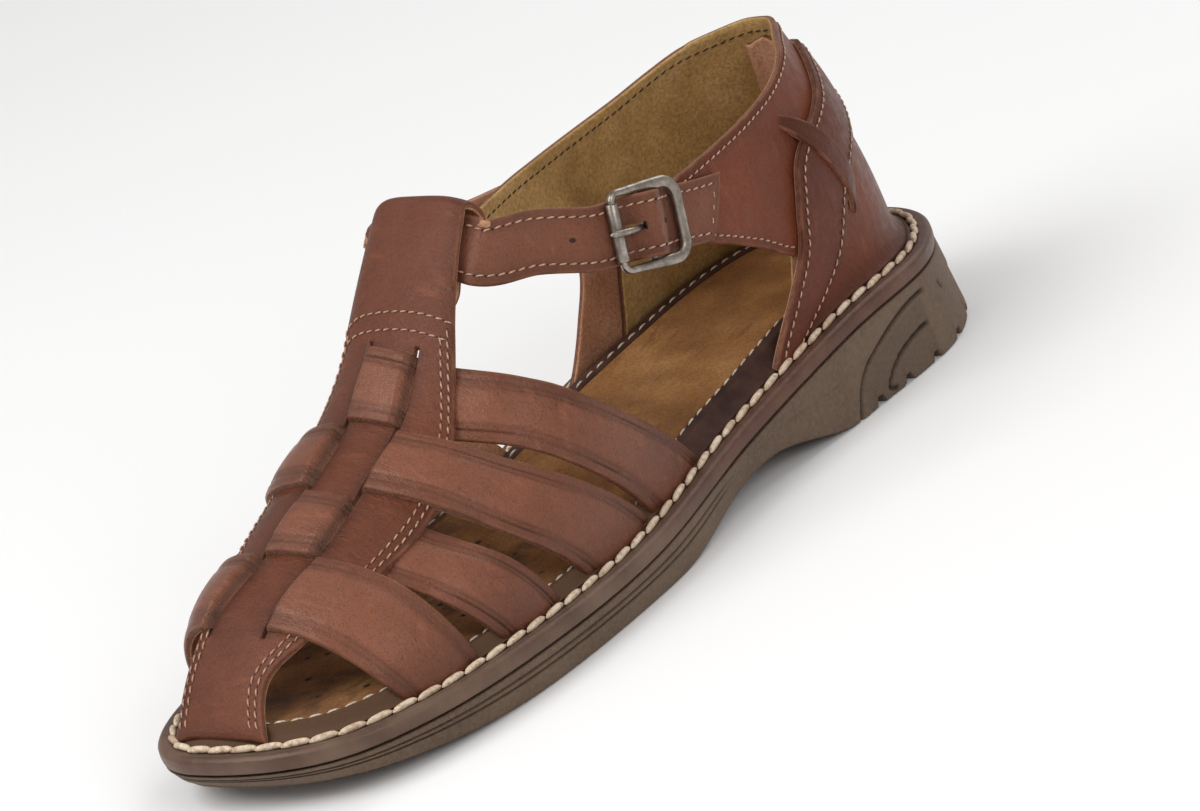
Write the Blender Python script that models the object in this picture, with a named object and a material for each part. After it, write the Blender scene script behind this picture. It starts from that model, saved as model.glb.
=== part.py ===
"""Left fisherman sandal: woven leather vamp, buckled ankle strap, laced heel counter, cup sole.

Metres, +Z up. The toe points to -Y, the outer (lateral) side to +X, and the sole stands on Z = 0.
The upper is laid over a last: a row of arched sections from the toe to the instep, and a wall
around the heel. Every strap is a strip of that surface with its own thickness.
"""

import bmesh
import bpy
import numpy as np

# Sole
SOLE_LENGTH = 0.292        # along the top rim
BALL_WIDTH = 0.0948        # widest part of the rim
HEEL_WIDTH = 0.0778        # rim at the heel seat
HEEL_HEIGHT = 0.0272       # floor to rim at the heel
FOREPART_HEIGHT = 0.0145   # floor to rim at the ball
TOE_SPRING = 0.0078        # lift of the bottom at the toe
ARCH_RISE = 0.0072         # lift of the bottom at the waist
HEEL_FLARE = 0.0034        # how far the heel spreads towards the floor
MIDSOLE_THICKNESS = 0.005
INSOLE_THICKNESS = 0.0032
GROOVE_DEPTH = 0.0009      # lines round the side
GROOVES = ((0.30, 0.36), (0.44, 0.50))   # from and to, shares of the side's height
EDGE = 0.0008              # rounding of the sole's edges
TREAD_DEPTH = 0.0024
TREAD_WIDTH = 0.0032
CHEVRON_RADIUS = 0.0008    # curved side grooves of the heel

# Upper
LEATHER = 0.0020           # thickness of every strap and of the counter
FEATHER_INSET = 0.0065     # rim to the outer face of the upper
INSTEP_HEIGHT = 0.105      # floor to the ridge under the top fold
COLLAR_HEIGHT = 0.0655     # heel rim to the top of the counter
WEAVE_LIFT = 0.0017        # how far a strap rises or dips where two layers cross
SLIT_WIDTH = 0.0015        # cuts in the centre piece that the straps pass through
ANKLE_STRAP_WIDTH = 0.0166
FOLD_RISE = 0.30           # how far the fold stands up, share of the loop's depth
LOOP_SPACE = 0.0044        # room for the ankle strap inside the folded loop

# Buckle
BUCKLE_LENGTH = 0.0235
BUCKLE_STATION = 0.070     # middle of the frame
WIRE = 0.0022              # thickness of the frame
ROLLER_RADIUS = 0.0017
PIN_RADIUS = 0.0009        # frame bar inside the roller
HINGE_RADIUS = 0.0010      # hidden bar that carries the prong
PRONG_RADIUS = 0.0007
BUCKLE_SLACK = 0.0006      # play between the strap's edges and the frame
BORE_PLAY = 0.00025        # between the roller and its pin
HINGE_DROP = 0.0007        # the hidden bar lies lower than the frame
FRAME_CORNERS = (0.0022, 0.0042)   # rounding at the roller side and at the far side

GAP = 0.0003               # clearance between neighbouring pieces

# Rim outline: station (share of the length from the heel), lateral and medial half widths
# as shares of the width named in the last column.
OUTLINE = (
    (0.000, 0.000, 0.000, HEEL_WIDTH),
    (0.030, 0.266, 0.281, HEEL_WIDTH),
    (0.117, 0.476, 0.460, HEEL_WIDTH),
    (0.250, 0.504, 0.496, HEEL_WIDTH),
    (0.413, 0.522, 0.496, HEEL_WIDTH),
    (0.587, 0.492, 0.397, BALL_WIDTH),
    (0.750, 0.498, 0.502, BALL_WIDTH),
    (0.883, 0.424, 0.456, BALL_WIDTH),
    (0.970, 0.255, 0.312, BALL_WIDTH),
    (1.000, -0.111, 0.111, BALL_WIDTH),
)

# Height of the rim: station, share of the step between forepart and heel height,
# share of the toe spring added to it.
RIM = (
    (0.00, 0.90, 0.00),
    (0.20, 1.00, 0.00),
    (0.42, 0.49, 0.00),
    (0.60, 0.02, 0.00),
    (0.75, 0.00, 0.00),
    (0.90, 0.00, 0.10),
    (1.00, 0.00, 0.34),
)

# Lean of the side wall at the floor, as an inset from the rim: station, share of the heel flare.
LEAN = (
    (0.00, -1.00),
    (0.10, -0.75),
    (0.28, -0.45),
    (0.40, 0.55),
    (0.60, 0.25),
    (0.80, 0.30),
    (0.93, 0.55),
    (1.00, 0.90),
)

# Distance of the insole from the upper: station, share of the leather.
INSOLE_MARGIN = (
    (0.00, 1.90),
    (0.28, 1.75),
    (0.37, 0.80),
    (0.85, 0.80),
    (0.95, 1.70),
    (1.00, 2.20),
)

# Ridge of the vamp: station from the middle (share of the length, toe negative), offset to the
# side (share of the ball width), height above the rim (share of the instep height above it),
# then the shape of the lateral and the medial shoulder: 1 is round, less is squarer.
RIDGE = (
    (-0.480, -0.042, 0.000, 1.00, 0.85),
    (-0.462, -0.063, 0.080, 1.00, 0.85),
    (-0.418, -0.095, 0.232, 1.00, 0.85),
    (-0.336, -0.105, 0.362, 1.00, 0.85),
    (-0.264, -0.105, 0.463, 1.00, 0.85),
    (-0.199, -0.095, 0.565, 1.00, 0.80),
    (-0.147, -0.084, 0.707, 0.95, 0.70),
    (-0.123, -0.074, 0.791, 0.90, 0.56),
    (-0.051, -0.042, 1.000, 0.75, 0.36),
    (0.034, -0.032, 1.145, 0.75, 0.36),
)
SIDE_FULLNESS = 0.88       # below 1 lifts the flanks of a section

# Centre piece: station, lateral and medial edge, lateral and medial slit (shares of ball width).
CENTRE = (
    (-0.475, 0.110, -0.228, 0.020, -0.150),
    (-0.443, 0.073, -0.235, 0.020, -0.180),
    (-0.409, 0.140, -0.222, 0.024, -0.176),
    (-0.332, 0.228, -0.290, 0.048, -0.130),
    (-0.252, 0.263, -0.316, 0.065, -0.108),
    (-0.192, 0.225, -0.285, 0.070, -0.103),
    (-0.144, 0.171, -0.245, 0.060, -0.100),
    (-0.116, 0.146, -0.236, 0.060, -0.100),
    (-0.045, 0.112, -0.224, 0.060, -0.100),
)
SLIT_STATIONS = (-0.412, -0.140)
FOLD_STATION = -0.049      # crest of the loop
LOOP_END_STATION = -0.133  # where the back of the loop is sewn down

# Cross straps: for each angle up the section, the rear and the front edge (shares of length).
# A strap that starts over the centre piece is woven in the other order than its neighbours.
STRAPS = {
    "first": {
        "over_centre": True,
        "edges": (
            (0, 0.031, -0.055),
            (15, -0.045, -0.111),
            (35, -0.106, -0.159),
            (60, -0.144, -0.195),
            (90, -0.149, -0.202),
        ),
    },
    "second": {
        "over_centre": False,
        "edges": (
            (0, -0.062, -0.159),
            (15, -0.123, -0.199),
            (35, -0.171, -0.236),
            (60, -0.199, -0.259),
            (90, -0.206, -0.266),
        ),
    },
    "third": {
        "over_centre": True,
        "edges": (
            (0, -0.199, -0.274),
            (15, -0.224, -0.296),
            (35, -0.255, -0.317),
            (60, -0.271, -0.330),
            (90, -0.273, -0.335),
        ),
    },
    "fourth": {
        "over_centre": False,
        "edges": (
            (0, -0.303, -0.383),
            (15, -0.313, -0.394),
            (35, -0.322, -0.401),
            (60, -0.331, -0.405),
            (90, -0.339, -0.408),
        ),
    },
}

# Counter: top edge as station from the middle and height above the heel rim (share of the collar
# height), then the bottom edge in the same way. It runs back down behind the heel strap's foot.
COUNTER = (
    (0.075, 0.870, 0.075, 0.720),
    (0.135, 0.881, 0.123, 0.640),
    (0.195, 0.890, 0.168, 0.530),
    (0.250, 0.902, 0.206, 0.425),
    (0.295, 0.922, 0.232, 0.335),
    (0.335, 0.958, 0.246, 0.295),
    (0.362, 0.985, 0.216, 0.000),
    (0.385, 1.001, 0.280, 0.000),
    (0.420, 1.010, 0.370, 0.000),
    (0.500, 1.015, 0.500, 0.000),
)
QUARTER_FRONT = (0.58, 0.0)    # where lateral and medial quarter start, rows of that table
# Counter wall: height (share of the collar height), inset from the rim at the side, at the back
# and more at the corners between them (shares of the heel width).
COUNTER_WALL = (
    (0.00, 0.108, 0.116, 0.000),
    (0.33, 0.086, 0.148, 0.020),
    (0.66, 0.079, 0.218, 0.045),
    (1.00, 0.110, 0.298, 0.088),
)
CORNER_TURN = 38.0         # turn at which the heel's corners lie, and how far they reach
CORNER_REACH = 18.0

# Heel strap: turn around the heel in degrees (0 at the back) and height (share of the collar
# height) of its front edge, then of its rear edge.
HEEL_STRAP = (
    (70.5, 0.000, 65.5, 0.000),
    (67.0, 0.100, 61.0, 0.035),
    (63.6, 0.200, 56.8, 0.090),
    (60.1, 0.315, 52.4, 0.185),
    (58.0, 0.480, 49.4, 0.300),
    (55.0, 0.640, 46.5, 0.390),
    (48.0, 0.730, 41.0, 0.470),
    (36.0, 0.820, 31.0, 0.550),
    (20.0, 0.900, 17.0, 0.630),
    (0.0, 0.940, 0.0, 0.655),
)
# Turn added to the front and the rear edge of its medial leg, which stands more upright.
MEDIAL_LEG = (
    (4.2, -0.3),
    (4.6, 1.5),
    (5.5, 4.5),
    (6.5, 6.0),
    (6.5, 6.0),
    (4.5, 4.5),
    (2.0, 2.0),
    (0.5, 0.5),
    (0.0, 0.0),
    (0.0, 0.0),
)
HEEL_SLIT_TURN = 19.0      # where the heel strap dives to the inside
HEEL_STRAP_LIFT = 0.0014   # how far it lies outside, then inside the counter's leather
# Bridge over the heel strap: turn, height share, half width (share of the collar height).
BRIDGE = (
    (55.0, 0.800, 0.025),
    (51.8, 0.700, 0.045),
    (48.5, 0.560, 0.060),
    (46.0, 0.405, 0.064),
    (44.8, 0.300, 0.064),
)
MEDIAL_BRIDGE = 4.0        # turn added on the medial side

# Ankle strap beside the foot: station from the middle, height above the heel rim (share of the
# collar height) and distance of its outer face from the counter's (share of the leather) on the
# medial side, then the same on the lateral side.
ANKLE_STRAP = (
    (0.028, 0.865, 0.20, 0.868, -0.95),
    (0.060, 0.815, 1.20, 0.838, 0.35),
    (0.100, 0.775, 1.30, 0.787, 1.30),
    (0.140, 0.740, 1.30, 0.733, 1.30),
    (0.172, 0.712, 1.30, 0.695, 1.30),
)
TIP_SLANT = 0.0085         # the free end is cut at a slant
HOLE_FROM = 0.0068         # hole for the prong, measured from the hinge bar towards the roller
HOLE_TO = 0.0026
HOLE_WIDTH = 0.0030
QUARTER_PULL = 0.0022      # how far the buckled strap draws in the front of the quarters
PULL_STATIONS = (0.060, 0.160)
# The same strap over the instep: offset from the ridge (share of heel width), station, height
# above the heel rim (share of the collar height), lean of its width in degrees.
INSTEP_CROSSING = (
    (-0.310, -0.0290, 0.952, 66.0),
    (0.362, -0.0290, 0.952, 66.0),
)
LOOP_CROSSING = -0.0790    # station at which it runs through the loop
LOOP_LEAN = 0.0003         # how much nearer to the front layer it lies at the medial edge
SIDE_LEAN = 88.0
LOOP_CLOSING = (-0.104, -0.130)    # stations between which the loop closes on its front layer

SIDE_STEPS = 32            # points along each side of the sole
FLAT_START = 0.560         # forefoot flat, shares of the length from the heel
FLAT_END = 0.755
HEEL_FLAT_END = 0.270


def smooth(x, table_x, table_y):
    """Cubic through a table, with slopes averaged from the neighbouring spans."""
    xs = np.asarray(table_x, float)
    ys = np.asarray(table_y, float)
    spans = np.diff(xs)
    rises = np.diff(ys) / spans
    slopes = np.zeros_like(ys)
    slopes[1:-1] = (rises[:-1] * spans[1:] + rises[1:] * spans[:-1]) / (spans[:-1] + spans[1:])
    slopes[0] = 1.5 * rises[0] - 0.5 * slopes[1]
    slopes[-1] = 1.5 * rises[-1] - 0.5 * slopes[-2]
    x = np.clip(x, xs[0], xs[-1])
    i = np.clip(np.searchsorted(xs, x, side="right") - 1, 0, len(spans) - 1)
    t = (x - xs[i]) / spans[i]
    return ((2 * t**3 - 3 * t**2 + 1) * ys[i] + (t**3 - 2 * t**2 + t) * spans[i] * slopes[i]
            + (3 * t**2 - 2 * t**3) * ys[i + 1] + (t**3 - t**2) * spans[i] * slopes[i + 1])


def column(table, index):
    return [row[index] for row in table]


def ease(t):
    """Runs from 0 to 1 with level ends."""
    t = np.clip(t, 0.0, 1.0)
    return t * t * (3.0 - 2.0 * t)


# Sole outline and heights

def outline_angle(share):
    """Angle that spaces stations closely at heel and toe: 0 at the heel, pi at the toe."""
    return np.arccos(np.clip(1.0 - 2.0 * np.asarray(share, float), -1.0, 1.0))


def half_width(share, side):
    """Half width of the rim at a station, lateral for side 1 and medial for side -1."""
    widths = [row[1 if side > 0 else 2] * row[3] for row in OUTLINE]
    return smooth(outline_angle(share), outline_angle(column(OUTLINE, 0)), widths)


def rim_height(share):
    step = HEEL_HEIGHT - FOREPART_HEIGHT
    return (FOREPART_HEIGHT + step * smooth(share, column(RIM, 0), column(RIM, 1))
            + TOE_SPRING * smooth(share, column(RIM, 0), column(RIM, 2)))


def bottom_height(share):
    """Flat under heel and ball, lifted at the waist, the toe and the back edge."""
    waist = ease((share - HEEL_FLAT_END) / 0.12) * ease((FLAT_START - share) / 0.16)
    toe = np.clip((share - FLAT_END) / (1.0 - FLAT_END), 0.0, 1.0) ** 1.7
    back = np.clip((0.035 - share) / 0.035, 0.0, 1.0) ** 2
    return ARCH_RISE * waist + TOE_SPRING * toe + 0.2 * ARCH_RISE * back


def rim_loop():
    """Rim points from the heel along the lateral side to the toe and back, with normals."""
    angle = np.linspace(0.0, np.pi, SIDE_STEPS + 1)
    share = 0.5 * (1.0 - np.cos(angle))
    lateral = half_width(share, 1)
    medial = -half_width(share, -1)
    x = np.concatenate([lateral, medial[-2:0:-1]])
    s = np.concatenate([share, share[-2:0:-1]])
    points = np.stack([x, SOLE_LENGTH * (0.5 - s)], axis=1)
    along = np.roll(points, -1, axis=0) - np.roll(points, 1, axis=0)
    along /= np.linalg.norm(along, axis=1, keepdims=True)
    inward = np.stack([-along[:, 1], along[:, 0]], axis=1)
    if np.sum(inward[5] * points[5]) > 0:
        inward = -inward
    return points, inward, s


def stacked_loops(name, levels, material):
    """Closed body between level loops: each level is an inset per rim point and a function that
    gives the height at a station."""
    points, inward, _ = rim_loop()
    count = len(points)
    verts = []
    for inset, height in levels:
        ring = points + inward * np.broadcast_to(inset, (count,))[:, None]
        verts.append(np.column_stack([ring, height(station_share(ring[:, 1]))]))
    verts = np.concatenate(verts)
    faces = []
    for level in range(len(levels) - 1):
        a = level * count
        for i in range(count):
            j = (i + 1) % count
            faces.append((a + j, a + i, a + count + i, a + count + j))
    for base, up in ((0, False), ((len(levels) - 1) * count, True)):
        for i in range(SIDE_STEPS):
            quad = [base + i, base + i + 1, base + (count - i - 1) % count, base + (count - i) % count]
            quad = list(dict.fromkeys(quad))
            faces.append(tuple(reversed(quad)) if up else tuple(quad))
    return add_mesh(name, verts, faces, material)


# Meshes and materials

def make_material(name, colour, roughness, metallic=0.0):
    material = bpy.data.materials.new(name)
    material.use_nodes = True
    shader = material.node_tree.nodes["Principled BSDF"]
    shader.inputs["Base Color"].default_value = (*colour, 1.0)
    shader.inputs["Roughness"].default_value = roughness
    shader.inputs["Metallic"].default_value = metallic
    material.diffuse_color = (*colour, 1.0)
    return material


def add_mesh(name, verts, faces, material):
    """New object from points and faces, with its faces turned outwards."""
    mesh = bpy.data.meshes.new(name)
    mesh.from_pydata([tuple(v) for v in np.asarray(verts, float)], [], faces)
    mesh.validate()
    volume = 0.0
    mesh.calc_loop_triangles()
    for tri in mesh.loop_triangles:
        a, b, c = (mesh.vertices[i].co for i in tri.vertices)
        volume += a.dot(b.cross(c))
    if volume < 0.0:
        mesh.flip_normals()
    mesh.shade_smooth()
    mesh.set_sharp_from_angle(angle=np.radians(40.0))
    item = bpy.data.objects.new(name, mesh)
    bpy.context.collection.objects.link(item)
    mesh.materials.append(material)
    return item


def combine(item, others, operation):
    """Boolean modifiers that join others to an object or cut them from it."""
    for other in others:
        other.hide_render = True
        other.display_type = "WIRE"
        change = item.modifiers.new(other.name, "BOOLEAN")
        change.operation = operation
        change.solver = "EXACT"
        change.object = other


def fuse(item, others):
    """Joins others to an object and fills the closed pockets left between the layers."""
    combine(item, others, "UNION")
    bpy.context.view_layer.update()
    result = item.evaluated_get(bpy.context.evaluated_depsgraph_get())
    body = bmesh.new()
    body.from_mesh(result.to_mesh())
    shells = []
    seen = set()
    for start in body.verts:
        if start in seen:
            continue
        shell = []
        queue = [start]
        seen.add(start)
        while queue:
            vert = queue.pop()
            shell.append(vert)
            for edge in vert.link_edges:
                other = edge.other_vert(vert)
                if other not in seen:
                    seen.add(other)
                    queue.append(other)
        shells.append(shell)
    shells.sort(key=len)
    for shell in shells[:-1]:
        bmesh.ops.delete(body, geom=shell, context="VERTS")
    bmesh.ops.triangulate(body, faces=body.faces)
    item.modifiers.clear()
    body.to_mesh(item.data)
    body.free()
    item.data.set_sharp_from_angle(angle=np.radians(40.0))
    for other in others:
        bpy.data.objects.remove(other, do_unlink=True)


def grid_normals(grid):
    """Unit normals of a grid of points, from the differences to its neighbours."""
    rows = np.gradient(grid, axis=0)
    cols = np.gradient(grid, axis=1)
    normal = np.cross(rows, cols)
    return normal / np.linalg.norm(normal, axis=2, keepdims=True)


def sheet(name, outer, thickness, material, kept=None, outward=None, floor=None):
    """Closed wall from a grid of outer points: the inner face lies a thickness behind it.

    kept marks the cells that exist, outward is a rough outward direction for the normals, and
    floor gives the lowest height that a point may have.
    """
    normals = grid_normals(outer)
    if outward is not None:
        turn = np.sign(np.sum(normals * outward(outer), axis=2).mean())
        normals = normals * turn
    inner = outer - normals * thickness
    if floor is not None:
        for face in (outer, inner):
            face[..., 2] = np.maximum(face[..., 2], floor(face))
    rows, cols = outer.shape[:2]
    if kept is None:
        kept = np.ones((rows - 1, cols - 1), bool)
    verts = np.concatenate([outer.reshape(-1, 3), inner.reshape(-1, 3)])
    number = np.arange(rows * cols).reshape(rows, cols)
    back = rows * cols
    faces = []
    padded = np.pad(kept, 1)
    for i in range(rows - 1):
        for j in range(cols - 1):
            if not kept[i, j]:
                continue
            a, b = number[i, j], number[i, j + 1]
            c, d = number[i + 1, j + 1], number[i + 1, j]
            faces.append((a, b, c, d))
            faces.append((back + d, back + c, back + b, back + a))
            sides = (((a, b), padded[i, j + 1]), ((b, c), padded[i + 1, j + 2]),
                     ((c, d), padded[i + 2, j + 1]), ((d, a), padded[i + 1, j]))
            for (p, q), filled in sides:
                if not filled:
                    faces.append((q, p, back + p, back + q))
    used = sorted({index for face in faces for index in face})
    place = {old: new for new, old in enumerate(used)}
    faces = [tuple(place[index] for index in face) for face in faces]
    return add_mesh(name, verts[used], faces, material)


def tube(name, path, radius, material, sides=10, closed=False):
    """Round bar along a path of points, with one radius or one for each point."""
    path = np.asarray(path, float)
    radius = np.broadcast_to(radius, (len(path),))[:, None, None]
    if closed:
        along = np.roll(path, -1, axis=0) - np.roll(path, 1, axis=0)
    else:
        along = np.gradient(path, axis=0)
    along /= np.linalg.norm(along, axis=1, keepdims=True)
    across = np.cross(along, [0.02, 0.31, 0.95])
    across /= np.linalg.norm(across, axis=1, keepdims=True)
    up = np.cross(across, along)
    turn = np.linspace(0.0, 2.0 * np.pi, sides, endpoint=False)
    ring = (across[:, None] * np.cos(turn)[None, :, None] + up[:, None] * np.sin(turn)[None, :, None])
    verts = (path[:, None] + ring * radius).reshape(-1, 3)
    count = len(path)
    faces = []
    for i in range(count if closed else count - 1):
        for k in range(sides):
            m = (k + 1) % sides
            n = (i + 1) % count
            faces.append((i * sides + k, i * sides + m, n * sides + m, n * sides + k))
    if not closed:
        faces.append(tuple(range(sides))[::-1])
        faces.append(tuple(range((count - 1) * sides, count * sides)))
    return add_mesh(name, verts, faces, material)


# The last

def station_share(y):
    return 0.5 - np.asarray(y, float) / SOLE_LENGTH


def section(y):
    """Feet, ridge, base, rise and shoulder shapes of the last's section at y."""
    share = station_share(y)
    lateral = half_width(share, 1) - FEATHER_INSET
    medial = -(half_width(share, -1) - FEATHER_INSET)
    base = rim_height(share) + GAP
    station = y / SOLE_LENGTH
    ridge, rise, lateral_shape, medial_shape = (
        smooth(station, column(RIDGE, 0), column(RIDGE, i)) for i in (1, 2, 3, 4))
    rise = rise * (INSTEP_HEIGHT - FOREPART_HEIGHT)
    return lateral, medial, ridge * BALL_WIDTH, base, rise, lateral_shape, medial_shape


def arch_point(y, angle):
    """Outer surface at an angle up the section: 0 lateral foot, 90 ridge, 180 medial foot."""
    lateral, medial, ridge, base, rise, lateral_shape, medial_shape = section(y)
    turn = np.radians(angle)
    level = np.abs(np.cos(turn))
    x = np.where(np.cos(turn) > 0.0, ridge + (lateral - ridge) * level**lateral_shape,
                 ridge + (medial - ridge) * level**medial_shape)
    z = base + rise * np.abs(np.sin(turn)) ** SIDE_FULLNESS
    return np.stack(np.broadcast_arrays(x, y, z), axis=-1)


def arch_angle(y, x):
    """Angle up the section at which the surface passes the side position x."""
    lateral, medial, ridge, _, _, lateral_shape, medial_shape = section(y)
    out = np.clip((x - ridge) / (lateral - ridge), 0.0, 0.995) ** (1.0 / lateral_shape)
    inn = np.clip((x - ridge) / (medial - ridge), 0.0, 0.995) ** (1.0 / medial_shape)
    return np.where(x > ridge, np.degrees(np.arccos(out)), 180.0 - np.degrees(np.arccos(inn)))


def outward_from_foot(points):
    """Rough outward direction over the vamp: away from the foot's axis."""
    axis = np.zeros_like(points)
    axis[..., 0] = points[..., 0] * 0.6
    axis[..., 1] = -0.05
    axis[..., 2] = 0.06
    return axis


def rim_floor(points):
    return rim_height(station_share(points[..., 1])) + GAP


# Pieces

def side_height(level):
    """Function of the station that gives the height at a share of the outsole's side."""
    def height(share):
        bottom = bottom_height(share)
        return bottom + level * (rim_height(share) - MIDSOLE_THICKNESS - GAP - bottom)
    return height


def above_rim(lift):
    """Function of the station that gives the height of the rim plus a lift."""
    def height(share):
        return rim_height(share) + lift
    return height


def make_sole(rubber, band, bed):
    share = rim_loop()[2]
    lean = HEEL_FLARE * smooth(share, column(LEAN, 0), column(LEAN, 1))
    levels = [(lean + EDGE, side_height(0.0)), (lean * 0.95, side_height(0.06))]
    for low, high in GROOVES:
        middle = 0.5 * (low + high)
        levels.append((lean * (1.0 - low), side_height(low)))
        levels.append((lean * (1.0 - middle) + GROOVE_DEPTH, side_height(middle)))
        levels.append((lean * (1.0 - high), side_height(high)))
    levels.append((GAP, side_height(1.0)))
    outsole = stacked_loops("outsole", levels, rubber)
    cutters = []
    half = 0.5 * SOLE_LENGTH
    for i, station in enumerate((0.060, 0.105, 0.150, 0.195, 0.240)):
        cutters.append(tread_cut(f"heel_tread_{i}", half - station * SOLE_LENGTH, 1.5 * HEEL_WIDTH))
    count = 7
    for i in range(count):
        station = FLAT_START + 0.012 + (0.90 - FLAT_START) * i / (count - 1)
        width = 0.62 * BALL_WIDTH * (1.0 - 0.45 * max(0.0, station - 0.80) / 0.2)
        cutters.append(tread_cut(f"ball_tread_{i}", half - station * SOLE_LENGTH, width))
    for sign in (1, -1):
        for i, (start, end, bow) in enumerate(((0.085, 0.265, 0.035), (0.095, 0.205, 0.022))):
            cutters.append(chevron_cut(f"chevron_{i}_{sign}", sign, start, end, bow))
    combine(outsole, cutters, "DIFFERENCE")
    stacked_loops("midsole", [
        (EDGE, above_rim(-MIDSOLE_THICKNESS)),
        (0.0, above_rim(EDGE - MIDSOLE_THICKNESS)),
        (0.0, above_rim(-EDGE)),
        (EDGE, above_rim(0.0)),
    ], band)
    margin = np.interp(share, column(INSOLE_MARGIN, 0), column(INSOLE_MARGIN, 1))
    inset = FEATHER_INSET + LEATHER * (1.0 + margin)
    stacked_loops("insole", [
        (inset, above_rim(GAP)),
        (inset, above_rim(GAP + INSOLE_THICKNESS - EDGE)),
        (inset + EDGE, above_rim(GAP + INSOLE_THICKNESS)),
    ], bed)


def box(name, low, high):
    verts = [(x, y, z) for x in (low[0], high[0]) for y in (low[1], high[1]) for z in (low[2], high[2])]
    faces = [(0, 1, 3, 2), (4, 6, 7, 5), (0, 4, 5, 1), (2, 3, 7, 6), (0, 2, 6, 4), (1, 5, 7, 3)]
    return add_mesh(name, verts, faces, cutter_material)


def tread_cut(name, y, width):
    """Block that cuts one groove across the bottom."""
    share = station_share(y)
    lift = float(bottom_height(share))
    middle = 0.5 * float(half_width(share, 1) - half_width(share, -1))
    return box(name, (middle - width / 2, y - TREAD_WIDTH / 2, -0.01),
               (middle + width / 2, y + TREAD_WIDTH / 2, lift + TREAD_DEPTH))


def chevron_cut(name, sign, start, end, bow):
    """Curved bar that cuts a shallow groove in the side of the heel."""
    t = np.linspace(0.0, 1.0, 12)
    share = start + (end - start) * t**0.75 + bow * np.sin(np.pi * t)
    rim = rim_height(share)
    bottom = bottom_height(share)
    height = bottom + (rim - MIDSOLE_THICKNESS - bottom) * (0.80 - 0.72 * t**1.4)
    lean = HEEL_FLARE * smooth(share, column(LEAN, 0), column(LEAN, 1))
    level = (height - bottom) / (rim - MIDSOLE_THICKNESS - bottom)
    x = sign * (half_width(share, sign) - lean * (1.0 - level) + 0.2 * CHEVRON_RADIUS)
    path = np.stack([x, SOLE_LENGTH * (0.5 - share), height], axis=1)
    return tube(name, path, CHEVRON_RADIUS, cutter_material, sides=6)


def centre_edges(y):
    """Lateral and medial edge and slit of the centre piece at y."""
    station = y / SOLE_LENGTH
    return [smooth(station, column(CENTRE, 0), column(CENTRE, i)) * BALL_WIDTH for i in (1, 2, 3, 4)]


def make_centre_piece(leather):
    """Centre strip from the toe up the instep, folded back at the top into a loop."""
    fold = FOLD_STATION * SOLE_LENGTH
    toe = CENTRE[0][0] * SOLE_LENGTH
    end = LOOP_END_STATION * SOLE_LENGTH
    slit_low, slit_high = (station * SOLE_LENGTH for station in SLIT_STATIONS)
    front = np.concatenate([np.linspace(toe, slit_low, 8)[:-1], np.linspace(slit_low, slit_high, 17),
                            np.linspace(slit_high, fold, 8)[1:]])
    back = np.linspace(fold, end, 5)
    grid = []
    for y in front:
        grid.append(centre_row(y, 0.0))
    depth = LOOP_SPACE + 2.0 * GAP + 2.0 * LEATHER
    for turn in np.radians((35.0, 70.0, 105.0, 140.0)):
        grid.append(centre_row(fold, depth * 0.5 * (1.0 - np.cos(turn)), depth * FOLD_RISE * np.sin(turn)))
    closed = 2.0 * LEATHER + GAP
    open_end, closed_end = (station * SOLE_LENGTH for station in LOOP_CLOSING)
    for y in back:
        shut = ease((open_end - y) / (open_end - closed_end))
        grid.append(centre_row(y, depth + (closed - depth) * shut))
    grid = np.array(grid)
    kept = np.ones((grid.shape[0] - 1, grid.shape[1] - 1), bool)
    rows = np.arange(len(front) - 1)
    slit = rows[(front[:-1] >= slit_low - 1e-6) & (front[1:] <= slit_high + 1e-6)]
    kept[np.ix_(slit, [3, 7])] = False
    return sheet("vamp", grid, LEATHER, leather, kept, front_rows_outward, rim_floor)


def front_rows_outward(points):
    """Outward direction that only counts the rows in front of the fold."""
    axis = np.zeros_like(points)
    count = points.shape[0] // 2
    axis[:count] = outward_from_foot(points[:count])
    return axis


def centre_row(y, drop, rise=0.0):
    """Points across the centre piece; drop moves them inwards, rise lifts them past the fold."""
    lateral, medial, slit_out, slit_in = centre_edges(y)
    gap = 0.5 * SLIT_WIDTH
    stops = [lateral, slit_out + gap, slit_out - gap, slit_in + gap, slit_in - gap, medial]
    x = np.concatenate([np.linspace(stops[0], stops[1], 4), np.linspace(stops[2], stops[3], 4),
                        np.linspace(stops[4], stops[5], 4)])
    points = arch_point(np.full_like(x, y), arch_angle(y, x))
    step = 0.001
    ahead = arch_point(np.full_like(x, y + step), arch_angle(y + step, x))
    along = (ahead - points)
    along /= np.linalg.norm(along, axis=1, keepdims=True)
    inwards = np.stack([0.0 * x, along[:, 2], -along[:, 1]], axis=1)
    return points + inwards * drop + along * rise


def strap_edges(strap, angle):
    """Rear and front edge of a cross strap at an angle up either side of the section."""
    climb = 90.0 - np.abs(90.0 - angle)
    table = STRAPS[strap]["edges"]
    rear = smooth(climb, column(table, 0), column(table, 1)) * SOLE_LENGTH
    front = smooth(climb, column(table, 0), column(table, 2)) * SOLE_LENGTH
    return rear, front


def weave_lift(strap, points):
    """Height of a strap over or under the centre piece at each point."""
    sign = 1.0 if STRAPS[strap]["over_centre"] else -1.0
    lateral, medial, slit_out, slit_in = centre_edges(points[..., 1])
    x = points[..., 0]
    ramp = 0.0016
    inside = ease((x - slit_in + ramp) / (2 * ramp)) * ease((slit_out + ramp - x) / (2 * ramp))
    reach = 0.016
    flank = ease((x - medial + reach) / reach) * ease((lateral + reach - x) / reach)
    return sign * WEAVE_LIFT * (2.0 * inside - 1.0) * flank


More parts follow.
